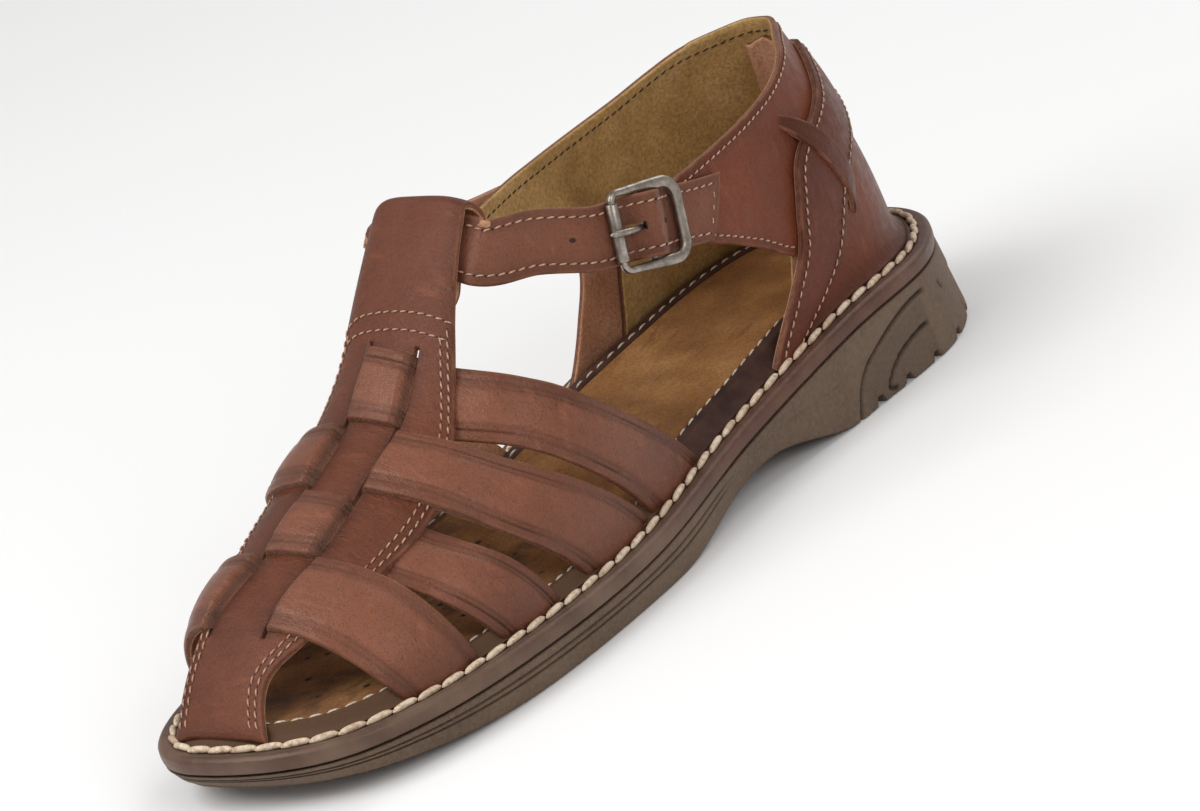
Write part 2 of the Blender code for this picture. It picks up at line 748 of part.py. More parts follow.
def make_cross_strap(strap, leather):
    """One strap from the lateral feather edge over the foot to the medial one."""
    foot = np.linspace(0.0, 50.0, 7)[:-1]
    angle = np.concatenate([foot, np.linspace(50.0, 130.0, 33), (180.0 - foot)[::-1]])
    rear, front = strap_edges(strap, angle)
    grid = []
    for share in np.linspace(0.0, 1.0, 4):
        grid.append(arch_point(front + (rear - front) * share, angle))
    grid = np.array(grid)
    normals = grid_normals(grid)
    normals *= np.sign(np.sum(normals * outward_from_foot(grid), axis=2).mean())
    grid = grid + normals * weave_lift(strap, grid)[..., None]
    return sheet(f"cross_strap_{strap}", grid, LEATHER, leather, None, outward_from_foot, rim_floor)


def wall_point(turn, height, offset=0.0):
    """Outer face of the counter: turn in degrees round the outline, height above the heel rim."""
    turn = np.asarray(turn, float)
    height = np.asarray(height, float)
    side = np.where(turn >= 0.0, 1, -1)
    angle = np.radians(np.abs(turn))
    share = 0.5 * (1.0 - np.cos(angle))

    def rim_at(a):
        s = 0.5 * (1.0 - np.cos(a))
        wide = np.where(side > 0, half_width(s, 1), half_width(s, -1))
        return np.stack([wide, SOLE_LENGTH * (0.5 - s)], axis=-1)

    step = 0.01
    here = rim_at(angle)
    along = rim_at(angle + step) - rim_at(np.maximum(angle - step, 0.0))
    along[..., 1] = np.where(angle < step, 0.0, along[..., 1])
    along /= np.linalg.norm(along, axis=-1, keepdims=True)
    inward = np.stack([along[..., 1], -along[..., 0]], axis=-1)
    level = np.clip(height / COLLAR_HEIGHT, 0.0, 1.05)
    flat = smooth(level, column(COUNTER_WALL, 0), column(COUNTER_WALL, 1))
    back = smooth(level, column(COUNTER_WALL, 0), column(COUNTER_WALL, 2))
    corner = smooth(level, column(COUNTER_WALL, 0), column(COUNTER_WALL, 3))
    corner = corner * np.exp(-((np.degrees(angle) - CORNER_TURN) / CORNER_REACH) ** 2)
    blend = ease(1.0 - angle / np.radians(62.0))
    near, far = PULL_STATIONS
    pull = QUARTER_PULL * ease((far - 0.5 + share) / (far - near))
    inset = HEEL_WIDTH * (flat + (back - flat) * blend + corner) + pull - offset
    plan = here + inward * inset[..., None]
    rim = rim_height(share)
    base = rim + GAP + (height / COLLAR_HEIGHT) * (HEEL_HEIGHT - rim)
    return np.stack([plan[..., 0] * side, plan[..., 1], base + height], axis=-1)


def turn_of(station):
    """Turn around the heel, in degrees, of a station from the middle."""
    return np.degrees(np.arccos(np.clip(2.0 * np.asarray(station, float), -1.0, 1.0)))


def outward_from_heel(points):
    axis = points.copy()
    axis[..., 1] = np.maximum(points[..., 1] - 0.25 * SOLE_LENGTH, 0.0)
    axis[..., 2] = 0.0
    return axis


def make_counter(leather):
    """Quarters and heel counter in one wrap, with the heel strap and its bridges raised on it."""
    knots = np.arange(len(COUNTER))
    back = knots[-1]
    lateral, medial = (np.concatenate([[start, 0.7, 1.0, 1.5, 2.0, 2.6, 3.2, 4.0, 5.0, 5.5, 6.0, 6.5,
                                        7.0, 7.5], np.linspace(back - 1.0, back, 8)[:-1]])
                       for start in QUARTER_FRONT)
    row = np.concatenate([lateral, [back], medial[::-1]])
    side = np.concatenate([np.ones(len(lateral) + 1), -np.ones(len(medial))])
    top_turn = smooth(row, knots, turn_of(column(COUNTER, 0)))
    top = smooth(row, knots, column(COUNTER, 1)) * COLLAR_HEIGHT
    low_turn = np.interp(row, knots, turn_of(column(COUNTER, 2)))
    low = np.interp(row, knots, column(COUNTER, 3)) * COLLAR_HEIGHT
    grid = []
    for share in np.linspace(0.0, 1.0, 6):
        turn = side * (low_turn + (top_turn - low_turn) * share)
        grid.append(wall_point(turn, low + (top - low) * share))
    counter = sheet("counter", np.array(grid), LEATHER, leather, None, outward_from_heel, rim_floor)
    parts = [make_heel_strap(leather)]
    parts += [make_bridge(sign, leather) for sign in (1, -1)]
    fuse(counter, parts)
    return counter


def make_heel_strap(leather):
    """Strap from the lateral sole, over the counter, inside at the back, to the medial sole."""
    knots = np.linspace(0.0, 1.0, len(HEEL_STRAP))
    along = np.linspace(0.0, 1.0, 21)
    front_turn, front_height, rear_turn, rear_height = (
        smooth(along, knots, column(HEEL_STRAP, i)) for i in range(4))
    front_more, rear_more = (smooth(along, knots, column(MEDIAL_LEG, i)) for i in range(2))
    grid = []
    for share in np.linspace(0.0, 1.0, 4):
        turn = rear_turn + (front_turn - rear_turn) * share
        height = (rear_height + (front_height - rear_height) * share) * COLLAR_HEIGHT
        more = rear_more + (front_more - rear_more) * share
        turn = np.concatenate([turn, -(turn + more)[-2::-1]])
        height = np.concatenate([height, height[-2::-1]])
        lift = HEEL_STRAP_LIFT * (1.0 - 2.0 * ease((HEEL_SLIT_TURN + 3.0 - np.abs(turn)) / 6.0))
        grid.append(wall_point(turn, np.maximum(height, 0.0), lift))
    return sheet("heel_strap", np.array(grid), LEATHER, leather, None, outward_from_heel, rim_floor)


def make_bridge(sign, leather):
    """Short strip of the counter that lies over the heel strap."""
    knots = np.linspace(0.0, 1.0, len(BRIDGE))
    along = np.linspace(0.0, 1.0, 9)
    turn = sign * (smooth(along, knots, column(BRIDGE, 0)) + (MEDIAL_BRIDGE if sign < 0 else 0.0))
    height = smooth(along, knots, column(BRIDGE, 1)) * COLLAR_HEIGHT
    half = smooth(along, knots, column(BRIDGE, 2)) * COLLAR_HEIGHT
    lift = 2.0 * WEAVE_LIFT * np.sin(np.pi * np.clip(along, 0.0, 1.0)) ** 0.6 - 0.3 * WEAVE_LIFT
    grid = []
    for share in (-1.0, -0.33, 0.33, 1.0):
        level = height + share * half * 0.8
        grid.append(wall_point(turn - sign * share * np.degrees(half / SOLE_LENGTH * 1.6), level, lift))
    return sheet(f"bridge_{sign}", np.array(grid), LEATHER, leather, None, outward_from_heel, rim_floor)


def strap_line():
    """Middle of the ankle strap's outer face from the medial end to the lateral tip, with the
    lean of its width in degrees."""
    y = LOOP_CROSSING * SOLE_LENGTH
    drop = LEATHER + 0.5 * (LOOP_SPACE + 2.0 * GAP - LEATHER)
    lateral, medial, _, _ = (float(edge) for edge in centre_edges(y))
    middle = 0.5 * (lateral + medial)
    loop = []
    for share in np.linspace(0.0, 1.0, 6):
        x = medial + (lateral - medial) * share
        point, along = loop_point(y, x, drop - LOOP_LEAN * (1.0 - share))
        loop.append((*point, np.degrees(np.arctan2(along[2], along[1]))))
    loop = np.array(loop)
    loop = np.vstack([loop[0] * 1.4 - loop[1] * 0.4, loop, loop[-1] * 1.4 - loop[-2] * 0.4])
    sides = []
    for sign, (across, station, height, lean) in zip((-1.0, 1.0), INSTEP_CROSSING):
        rows = [(middle + across * HEEL_WIDTH, station * SOLE_LENGTH,
                 HEEL_HEIGHT + height * COLLAR_HEIGHT, lean)]
        first = 1 if sign < 0.0 else 3
        for row in ANKLE_STRAP:
            height, offset = row[first:first + 2]
            point = wall_point(sign * turn_of(row[0]), height * COLLAR_HEIGHT, offset * LEATHER)
            rows.append((*point, SIDE_LEAN))
        sides.append(rows)
    return np.vstack([sides[0][::-1], loop, sides[1]])


def loop_point(y, x, drop):
    """Point a distance behind the outer face of the loop, and the direction up the loop."""
    here = arch_point(y, arch_angle(y, x))
    step = 0.001
    along = arch_point(y + step, arch_angle(y + step, x)) - here
    along /= np.linalg.norm(along)
    return here + np.array([0.0, along[2], -along[1]]) * drop, along


def strap_course(along=None):
    """Ankle strap at distances from its medial end: middle of the outer face, direction of its
    run, of its width and outwards. Without distances it only gives the whole length."""
    line = strap_line()
    knots = np.concatenate([[0.0], np.cumsum(np.linalg.norm(np.diff(line[:, :3], axis=0), axis=1))])
    if along is None:
        return knots[-1]
    step = 0.0005
    path, ahead, behind = (
        np.stack([smooth(along + shift, knots, line[:, i]) for i in range(3)], axis=-1)
        for shift in (0.0, step, -step))
    lean = np.radians(smooth(along, knots, line[:, 3]))
    run = ahead - behind
    run /= np.linalg.norm(run, axis=-1, keepdims=True)
    width = np.stack([0.0 * lean, np.cos(lean), np.sin(lean)], axis=-1)
    width -= run * np.sum(width * run, axis=-1, keepdims=True)
    width /= np.linalg.norm(width, axis=-1, keepdims=True)
    return path, run, width, np.cross(run, width)


def buckle_distance():
    """Distance along the ankle strap at which the frame's middle lies."""
    along = np.linspace(0.5 * strap_course(), strap_course(), 400)
    return float(np.interp(BUCKLE_STATION * SOLE_LENGTH, strap_course(along)[0][:, 1], along))


def frame_reach():
    """Half length and half height of the frame, to the middle of its bars."""
    return (0.5 * (BUCKLE_LENGTH - WIRE),
            0.5 * (ANKLE_STRAP_WIDTH + WIRE) + BUCKLE_SLACK)


def buckle_axes():
    """Origin and axes of the frame: it lies on the strap at both end bars."""
    middle = buckle_distance()
    reach = frame_reach()[0]
    path, _, width, _ = strap_course(np.array([middle - reach, middle, middle + reach]))
    run = path[2] - path[0]
    run /= np.linalg.norm(run)
    up = width[1] - run * np.dot(width[1], run)
    up /= np.linalg.norm(up)
    out = np.cross(run, up)
    origin = 0.5 * (path[0] + path[2]) + out * (ROLLER_RADIUS + GAP)
    return origin, run, up, out


def make_ankle_strap(leather):
    """Strap from the medial quarter through the loop and the buckle to its slanted free end."""
    middle = buckle_distance()
    reach = frame_reach()[0]
    length = strap_course()
    window = middle - reach + np.linspace(0.0, 2.0 * reach, 13)
    hole = (middle - HOLE_FROM, middle - HOLE_TO)
    window = window[(window < hole[0] - 0.001) | (window > hole[1] + 0.001)]
    along = np.concatenate([np.linspace(0.0, middle - reach, 34)[:-1], window, hole,
                            np.linspace(middle + reach, length, 8)[1:]])
    along = np.sort(along)
    arch = reach - ROLLER_RADIUS
    rise = 2.0 * HINGE_RADIUS + ROLLER_RADIUS - HINGE_DROP + LEATHER + 3.0 * GAP
    lift = rise * np.cos(0.5 * np.pi * np.clip((along - middle) / arch, -1.0, 1.0)) ** 2
    rest = np.clip((along - middle - reach) / (length - middle - reach), 0.0, 1.0)
    grid = []
    side = 0.5 * HOLE_WIDTH / ANKLE_STRAP_WIDTH
    for share in (-0.5, -side, side, 0.5):
        path, _, width, out = strap_course(along + (share - 0.5) * TIP_SLANT * rest)
        grid.append(path + width * share * ANKLE_STRAP_WIDTH + out * lift[:, None])
    kept = np.ones((3, len(along) - 1), bool)
    kept[1, int(np.argmin(np.abs(along - hole[0])))] = False
    return sheet("ankle_strap", np.array(grid), LEATHER, leather, kept, outward_from_ankle)


def place(axes, points):
    """World points from distances along the frame's run, height and outward axes."""
    origin, run, up, out = axes
    points = np.asarray(points, float)
    return origin + points[:, :1] * run + points[:, 1:2] * up + points[:, 2:] * out


def make_buckle(metal):
    """Frame with its hidden hinge bar, the roller on its front bar and the prong."""
    axes = buckle_axes()
    long, high = frame_reach()
    near, far = FRAME_CORNERS
    outline = []
    for x, y, radius, start in ((-long, -high, near, 180), (long, -high, far, 270),
                                (long, high, far, 0), (-long, high, near, 90)):
        centre = (x - np.sign(x) * radius, y - np.sign(y) * radius)
        for turn in np.radians(start + np.array([0.0, 30.0, 60.0, 90.0])):
            outline.append((centre[0] + radius * np.cos(turn), centre[1] + radius * np.sin(turn), 0.0))
    outline = np.array(outline)
    pin = np.isclose(outline[:, 0], -long)
    extra = np.array([(-long, high - near - ROLLER_RADIUS, 0.0), (-long, near + ROLLER_RADIUS - high, 0.0)])
    outline = np.vstack([outline, extra])
    thin = np.concatenate([pin, [True, True]])
    radius = np.where(thin, PIN_RADIUS, 0.5 * WIRE)
    frame = tube("buckle_frame", place(axes, outline), radius, metal, sides=10, closed=True)
    hinge = tube("hinge_bar", place(axes, [(0.0, -high, -HINGE_DROP), (0.0, high, -HINGE_DROP)]),
                 HINGE_RADIUS, metal, sides=8)
    fuse(frame, [hinge])
    half = high - near - GAP
    make_sleeve("buckle_roller", place(axes, [(-long, -half, 0.0), (-long, half, 0.0)]),
                ROLLER_RADIUS, PIN_RADIUS + BORE_PLAY, metal)
    orbit = HINGE_RADIUS + GAP + PRONG_RADIUS
    turns = np.radians((-50.0, -80.0, -110.0, -140.0, -170.0))
    hook = [(orbit * np.cos(t), 0.0, orbit * np.sin(t) - HINGE_DROP) for t in turns]
    clear = ROLLER_RADIUS + GAP + PRONG_RADIUS
    hook += [(-0.33 * long, 0.0, 0.25 * clear), (-0.52 * long, 0.0, 0.85 * clear),
             (-0.78 * long, 0.0, 1.08 * clear), (-long, 0.0, clear + 0.0001),
             (-1.16 * long, 0.0, 0.80 * clear)]
    tube("buckle_prong", place(axes, hook), PRONG_RADIUS, metal, sides=8)


def make_sleeve(name, ends, outer, inner, material, sides=14):
    """Short pipe between two points."""
    run = ends[1] - ends[0]
    run /= np.linalg.norm(run)
    across = np.cross(run, [0.3, 0.9, 0.1])
    across /= np.linalg.norm(across)
    up = np.cross(run, across)
    turn = np.linspace(0.0, 2.0 * np.pi, sides, endpoint=False)[:, None]
    ring = across * np.cos(turn) + up * np.sin(turn)
    rings = [ends[0] + ring * outer, ends[1] + ring * outer, ends[1] + ring * inner, ends[0] + ring * inner]
    faces = []
    for level in range(4):
        for k in range(sides):
            m = (k + 1) % sides
            below, above = level * sides, (level + 1) % 4 * sides
            faces.append((below + k, below + m, above + m, above + k))
    return add_mesh(name, np.concatenate(rings), faces, material)


def centre_box():
    """Moves everything so that the origin lies under the middle of the shoe's box."""
    bpy.context.view_layer.update()
    shown = [item for item in bpy.data.objects if not item.hide_render]
    corners = np.array([tuple(corner) for item in shown for corner in item.bound_box])
    middle = 0.5 * (corners.min(axis=0) + corners.max(axis=0))
    for item in bpy.data.objects:
        item.location = (-middle[0], -middle[1], 0.0)
    bpy.context.view_layer.update()


def outward_from_ankle(points):
    axis = points.copy()
    axis[..., 1] = np.minimum(points[..., 1], 0.0) * 2.0
    axis[..., 2] = 0.0
    return axis


for item in list(bpy.data.objects):
    bpy.data.objects.remove(item, do_unlink=True)

cutter_material = make_material("cutter", (0.8, 0.1, 0.1), 0.8)
rubber_material = make_material("taupe_rubber", (0.127, 0.098, 0.073), 0.62)
band_material = make_material("brown_midsole", (0.089, 0.036, 0.029), 0.35)
insole_material = make_material("tan_suede", (0.376, 0.171, 0.045), 0.90)
leather_material = make_material("brown_leather", (0.181, 0.065, 0.042), 0.42)
counter_material = make_material("counter_leather", (0.165, 0.058, 0.038), 0.42)
strap_material = make_material("strap_leather", (0.190, 0.070, 0.046), 0.44)
metal_material = make_material("old_nickel", (0.30, 0.26, 0.22), 0.34, metallic=1.0)

make_sole(rubber_material, band_material, insole_material)
vamp = make_centre_piece(leather_material)
fuse(vamp, [make_cross_strap(strap, leather_material) for strap in STRAPS])
make_counter(counter_material)
make_ankle_strap(strap_material)
make_buckle(metal_material)
centre_box()
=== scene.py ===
"""Left fisherman sandal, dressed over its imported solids.

Metres, +Z up; the toe points to -Y, the outer (lateral) side to +X, and the sole stands on Z = 0.
Every surface is a function of two parameters on a grid, worked out with numpy.
"""

import bpy
import numpy as np
from mathutils import Matrix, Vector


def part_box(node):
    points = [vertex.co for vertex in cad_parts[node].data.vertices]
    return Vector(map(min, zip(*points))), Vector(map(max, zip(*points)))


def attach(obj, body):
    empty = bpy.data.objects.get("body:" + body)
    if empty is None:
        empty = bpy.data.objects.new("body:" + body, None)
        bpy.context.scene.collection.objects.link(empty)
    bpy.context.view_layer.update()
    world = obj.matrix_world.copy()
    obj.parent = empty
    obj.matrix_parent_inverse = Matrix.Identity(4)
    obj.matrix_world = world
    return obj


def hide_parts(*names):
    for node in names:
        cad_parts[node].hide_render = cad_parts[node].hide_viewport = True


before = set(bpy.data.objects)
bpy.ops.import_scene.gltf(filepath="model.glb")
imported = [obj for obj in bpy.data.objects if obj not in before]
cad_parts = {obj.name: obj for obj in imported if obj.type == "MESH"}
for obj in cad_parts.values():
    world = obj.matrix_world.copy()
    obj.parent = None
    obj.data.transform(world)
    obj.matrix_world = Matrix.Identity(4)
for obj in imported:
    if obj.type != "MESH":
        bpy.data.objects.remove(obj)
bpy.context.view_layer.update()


def unit(vectors):
    return vectors / np.linalg.norm(vectors, axis=-1, keepdims=True)


def place_columns(item, axes, place):
    """Puts an object where its own X, Y and Z point along three axes."""
    item.matrix_world = Matrix([(*row, value) for row, value in zip(np.array(axes).T, place)]
                               + [(0.0, 0.0, 0.0, 1.0)])
    bpy.context.collection.objects.link(item)


# View of the photo
# A long lens looks down on the lateral front of the shoe, and the camera is rolled, because the
# shoe leans on its neighbour in the photo while it stands level here.
AZIMUTH = 45.66
ELEVATION = 19.46
ROLL = -19.38
DISTANCE = 1.53602
LENS = 176.97
SIDEWAYS = 0.00115
UPWARDS = 0.03624
CENTRE_RIGHT = 2.21        # pixels of the frame
CENTRE_UP = 5.5
FRAME_WIDTH = 1200.0


def camera_axes():
    """Right, up and back of the camera: the level view at azimuth and elevation, then turned
    about its own line of sight by the roll."""
    azimuth, elevation, roll = np.radians((AZIMUTH, ELEVATION, ROLL))
    back = np.array([np.sin(azimuth) * np.cos(elevation), -np.cos(azimuth) * np.cos(elevation),
                     np.sin(elevation)])
    level = np.array([np.cos(azimuth), np.sin(azimuth), 0.0])
    upright = np.cross(back, level)
    right = np.cos(roll) * level + np.sin(roll) * upright
    up = np.cos(roll) * upright - np.sin(roll) * level
    return right, up, back


# Place of the last in the frame
# The shape functions below measure from the middle of the sole's rim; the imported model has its
# origin under the middle of its box, so every point is moved by this much.
SOLE_LENGTH = 0.292
SHIFT = np.array([0.0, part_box("midsole")[0][1] + 0.5 * SOLE_LENGTH, 0.0])

right, up, back = camera_axes()
camera_data = bpy.data.cameras.new("camera")
camera_data.lens = LENS
camera_data.sensor_width = 36.0
camera_data.shift_x = -CENTRE_RIGHT / FRAME_WIDTH
camera_data.shift_y = -CENTRE_UP / FRAME_WIDTH
camera_data.clip_end = 50.0
camera = bpy.data.objects.new("camera", camera_data)
place_columns(camera, (right, up, back), back * DISTANCE + right * SIDEWAYS + up * UPWARDS + SHIFT)
bpy.context.scene.camera = camera
bpy.context.scene.view_settings.view_transform = "Standard"


# Floor and light
# A white sweep and large soft lamps, as in a catalogue picture.
def shader_of(material):
    return material.node_tree.nodes["Principled BSDF"]


def tune(material, **values):
    """Sets values of the shader; an underscore in a key stands for a space."""
    for key, value in values.items():
        shader_of(material).inputs[key.replace("_", " ")].default_value = value


def new_material(name, colour, roughness, **values):
    material = bpy.data.materials.new(name)
    material.use_nodes = True
    tune(material, Base_Color=(*colour, 1.0), Roughness=roughness, **values)
    return material


floor_mesh = bpy.data.meshes.new("floor")
floor_mesh.from_pydata([(-6, -6, 0), (6, -6, 0), (6, 6, 0), (-6, 6, 0)], [], [(0, 1, 2, 3)])
floor = bpy.data.objects.new("floor", floor_mesh)
bpy.context.collection.objects.link(floor)
floor_mesh.materials.append(new_material("floor_paint", (0.93, 0.93, 0.93), 0.9))

world = bpy.data.worlds.new("studio")
world.use_nodes = True
background = world.node_tree.nodes["Background"].inputs
background["Color"].default_value = (1.0, 0.99, 0.98, 1.0)
background["Strength"].default_value = 0.46
bpy.context.scene.world = world


def add_lamp(name, direction, distance, size, power):
    """Square soft lamp that looks at the shoe from a direction."""
    direction = unit(np.array(direction, float))
    lamp = bpy.data.lights.new(name, "AREA")
    lamp.size = size
    lamp.energy = power
    side = unit(np.cross([0.0, 0.0, 1.0], direction))
    place_columns(bpy.data.objects.new(name, lamp), (side, np.cross(direction, side), direction),
                  direction * distance)


add_lamp("key", (-0.35, -0.75, 1.0), 1.5, 1.0, 13.0)
add_lamp("side", (1.0, -0.25, 0.65), 1.6, 0.8, 6.5)
add_lamp("rear", (0.1, 1.0, 0.9), 1.7, 0.9, 6.0)


# Shape of the last
# The sole's rim and the foot form that the leather is pulled over. Tables hold stations as shares
# of the length and sizes as shares of the named widths and heights.
BALL_WIDTH = 0.0948
HEEL_WIDTH = 0.0778
HEEL_HEIGHT = 0.0272
FOREPART_HEIGHT = 0.0145
TOE_SPRING = 0.0078
ARCH_RISE = 0.0072
HEEL_FLARE = 0.0034
FEATHER_INSET = 0.0065
INSTEP_HEIGHT = 0.105
COLLAR_HEIGHT = 0.0655
LEATHER = 0.0020
GAP = 0.0003

# station from the heel, lateral and medial half width, width that they are shares of
OUTLINE = np.array([
    (0.000, 0.000, 0.000, HEEL_WIDTH),
    (0.030, 0.266, 0.281, HEEL_WIDTH),
    (0.117, 0.476, 0.460, HEEL_WIDTH),
    (0.250, 0.504, 0.496, HEEL_WIDTH),
    (0.413, 0.522, 0.496, HEEL_WIDTH),
    (0.587, 0.492, 0.397, BALL_WIDTH),
    (0.750, 0.498, 0.502, BALL_WIDTH),
    (0.883, 0.424, 0.456, BALL_WIDTH),
    (0.970, 0.255, 0.312, BALL_WIDTH),
    (1.000, -0.111, 0.111, BALL_WIDTH),
])
# station, share of the step from forepart to heel height, share of the toe spring
RIM = np.array([
    (0.00, 0.90, 0.00),
    (0.20, 1.00, 0.00),
    (0.42, 0.49, 0.00),
    (0.60, 0.02, 0.00),
    (0.75, 0.00, 0.00),
    (0.90, 0.00, 0.10),
    (1.00, 0.00, 0.34),
])
# station from the middle, sideways offset (share of ball width), height (share of the instep's),
# shape of the lateral and the medial shoulder
RIDGE = np.array([
    (-0.480, -0.042, 0.000, 1.00, 0.85),
    (-0.462, -0.063, 0.080, 1.00, 0.85),
    (-0.418, -0.095, 0.232, 1.00, 0.85),
    (-0.336, -0.105, 0.362, 1.00, 0.85),
    (-0.264, -0.105, 0.463, 1.00, 0.85),
    (-0.199, -0.095, 0.565, 1.00, 0.80),
    (-0.147, -0.084, 0.707, 0.95, 0.70),
    (-0.123, -0.074, 0.791, 0.90, 0.56),
    (-0.051, -0.042, 1.000, 0.75, 0.36),
    (0.034, -0.032, 1.145, 0.75, 0.36),
])
SIDE_FULLNESS = 0.88


def curve(table, x, column):
    """Cubic through one column of a table, with slopes averaged from the neighbouring spans."""
    xs = table[:, 0]
    ys = table[:, column]
    spans = np.diff(xs)
    rises = np.diff(ys) / spans
    slopes = np.zeros_like(ys)
    slopes[1:-1] = (rises[:-1] * spans[1:] + rises[1:] * spans[:-1]) / (spans[:-1] + spans[1:])
    slopes[0] = 1.5 * rises[0] - 0.5 * slopes[1]
    slopes[-1] = 1.5 * rises[-1] - 0.5 * slopes[-2]
    x = np.clip(x, xs[0], xs[-1])
    i = np.clip(np.searchsorted(xs, x, side="right") - 1, 0, len(spans) - 1)
    t = (x - xs[i]) / spans[i]
    return ((2 * t**3 - 3 * t**2 + 1) * ys[i] + (t**3 - 2 * t**2 + t) * spans[i] * slopes[i]
            + (3 * t**2 - 2 * t**3) * ys[i + 1] + (t**3 - t**2) * spans[i] * slopes[i + 1])


def ease(t):
    """0 to 1 with level ends: 3 t^2 - 2 t^3."""
    t = np.clip(t, 0.0, 1.0)
    return t * t * (3.0 - 2.0 * t)


def heel_angle(share):
    return np.arccos(np.clip(1.0 - 2.0 * np.asarray(share, float), -1.0, 1.0))


def half_width(share, side):
    """Half width of the rim at a station, worked out over an angle that spreads heel and toe."""
    table = np.column_stack([heel_angle(OUTLINE[:, 0]), OUTLINE[:, 1:3] * OUTLINE[:, 3:4]])
    return curve(table, heel_angle(share), 1 if side > 0 else 2)


def rim_height(share):
    step = HEEL_HEIGHT - FOREPART_HEIGHT
    return FOREPART_HEIGHT + step * curve(RIM, share, 1) + TOE_SPRING * curve(RIM, share, 2)


def bottom_height(share):
    """Floor under heel and ball; lifted at the waist, at the toe and at the very back."""
    waist = ease((share - 0.270) / 0.12) * ease((0.560 - share) / 0.16)
    toe = np.clip((share - 0.755) / 0.245, 0.0, 1.0) ** 1.7
    rear = np.clip((0.035 - share) / 0.035, 0.0, 1.0) ** 2
    return ARCH_RISE * waist + TOE_SPRING * toe + 0.2 * ARCH_RISE * rear


def share_at(y):
    return 0.5 - np.asarray(y, float) / SOLE_LENGTH


def section(y):
    """Feet, ridge, base, rise and shoulder shapes of the last at y."""
    share = share_at(y)
    station = y / SOLE_LENGTH
    lateral = half_width(share, 1) - FEATHER_INSET
    medial = FEATHER_INSET - half_width(share, -1)
    rise = curve(RIDGE, station, 2) * (INSTEP_HEIGHT - FOREPART_HEIGHT)
    return (lateral, medial, curve(RIDGE, station, 1) * BALL_WIDTH, rim_height(share) + GAP, rise,
            curve(RIDGE, station, 3), curve(RIDGE, station, 4))


def arch_point(y, angle):
    """Last at y and an angle up its section (0 lateral foot, 90 ridge, 180 medial foot): a half
    ellipse whose sides bend by the shoulder powers."""
    lateral, medial, ridge, base, rise, outer_shape, inner_shape = section(y)
    turn = np.radians(angle)
    level = np.abs(np.cos(turn))
    x = np.where(np.cos(turn) > 0.0, ridge + (lateral - ridge) * level**outer_shape,
                 ridge + (medial - ridge) * level**inner_shape)
    z = base + rise * np.abs(np.sin(turn)) ** SIDE_FULLNESS
    return np.stack(np.broadcast_arrays(x, y, z), axis=-1)


def arch_angle(y, x):
    """Angle at which the section at y passes the side position x."""
    lateral, medial, ridge, _, _, outer_shape, inner_shape = section(y)
    out = np.clip((x - ridge) / (lateral - ridge), 0.0, 0.995) ** (1.0 / outer_shape)
    inn = np.clip((x - ridge) / (medial - ridge), 0.0, 0.995) ** (1.0 / inner_shape)
    return np.where(x > ridge, np.degrees(np.arccos(out)), 180.0 - np.degrees(np.arccos(inn)))


# Outsole
# Moulded taupe rubber in one piece with the low heel. Its side has two fine lines round the
# forepart, and at the heel two curved grooves, a short tick and a roughened field.
MIDSOLE_THICKNESS = 0.005
TREAD_DEPTH = 0.0024
TREAD_WIDTH = 0.0032
RING_HALF = 520            # points along each side
GROOVE_DEPTH = 0.0013
GROOVE_HALF_WIDTH = 0.0006
LINE_DEPTH = 0.0006
LINE_LEVELS = (0.56, 0.74)
BOTTOM_ROUNDING = 0.0009
HEEL_SIDE_HEIGHT = 0.0218
SIDE_LEVELS = 58
BOTTOM_COLUMNS = 40
TOP_COLUMNS = 6
HEEL_TREADS = np.array([0.060, 0.105, 0.150, 0.195, 0.240])
BALL_TREADS = 0.572 + 0.34 * np.arange(7) / 6.0
# station, lean of the side at the floor as a share of the heel flare
LEAN = np.array([
    (0.00, -1.00),
    (0.10, -0.75),
    (0.28, -0.45),
    (0.40, 0.55),
    (0.60, 0.25),
    (0.80, 0.30),
    (0.93, 0.55),
    (1.00, 0.90),
])
# curved grooves on the heel's side: station, share of the side's height
OUTER_GROOVE = np.array([
    (0.135, 0.845),
    (0.165, 0.830),
    (0.199, 0.735),
    (0.235, 0.575),
    (0.256, 0.390),
    (0.268, 0.150),
    (0.272, 0.020),
])
INNER_GROOVE = np.array([
    (0.145, 0.470),
    (0.168, 0.450),
    (0.191, 0.385),
    (0.210, 0.270),
    (0.222, 0.130),
    (0.214, 0.060),
])
TICK = np.array([
    (0.104, 0.760),
    (0.101, 0.670),
])


def rim_ring():
    """Rim points from the heel along the lateral side to the toe and back, with inward normals
    and stations. Stations follow 0.5 (1 - cos angle), which is dense at heel and toe."""
    share = 0.5 * (1.0 - np.cos(np.linspace(0.0, np.pi, RING_HALF + 1)))
    x = np.concatenate([half_width(share, 1), -half_width(share, -1)[-2:0:-1]])
    s = np.concatenate([share, share[-2:0:-1]])
    points = np.stack([x, SOLE_LENGTH * (0.5 - s)], axis=1)
    along = unit(np.roll(points, -1, axis=0) - np.roll(points, 1, axis=0))
    inward = np.stack([-along[:, 1], along[:, 0]], axis=1)
    inward *= -np.sign(np.sum(inward * points)) or 1.0
    return points, inward, s


def ring_cells(levels, count):
    """Quads between level rings of the same number of points."""
    index = np.arange(levels * count).reshape(levels, count)
    after = np.roll(index, -1, axis=1)
    return np.stack([index[:-1], after[:-1], after[1:], index[1:]], axis=-1).reshape(-1, 4)


def grid_cells(index):
    return np.stack([index[:-1, :-1], index[:-1, 1:], index[1:, 1:], index[1:, :-1]],
                    axis=-1).reshape(-1, 4)


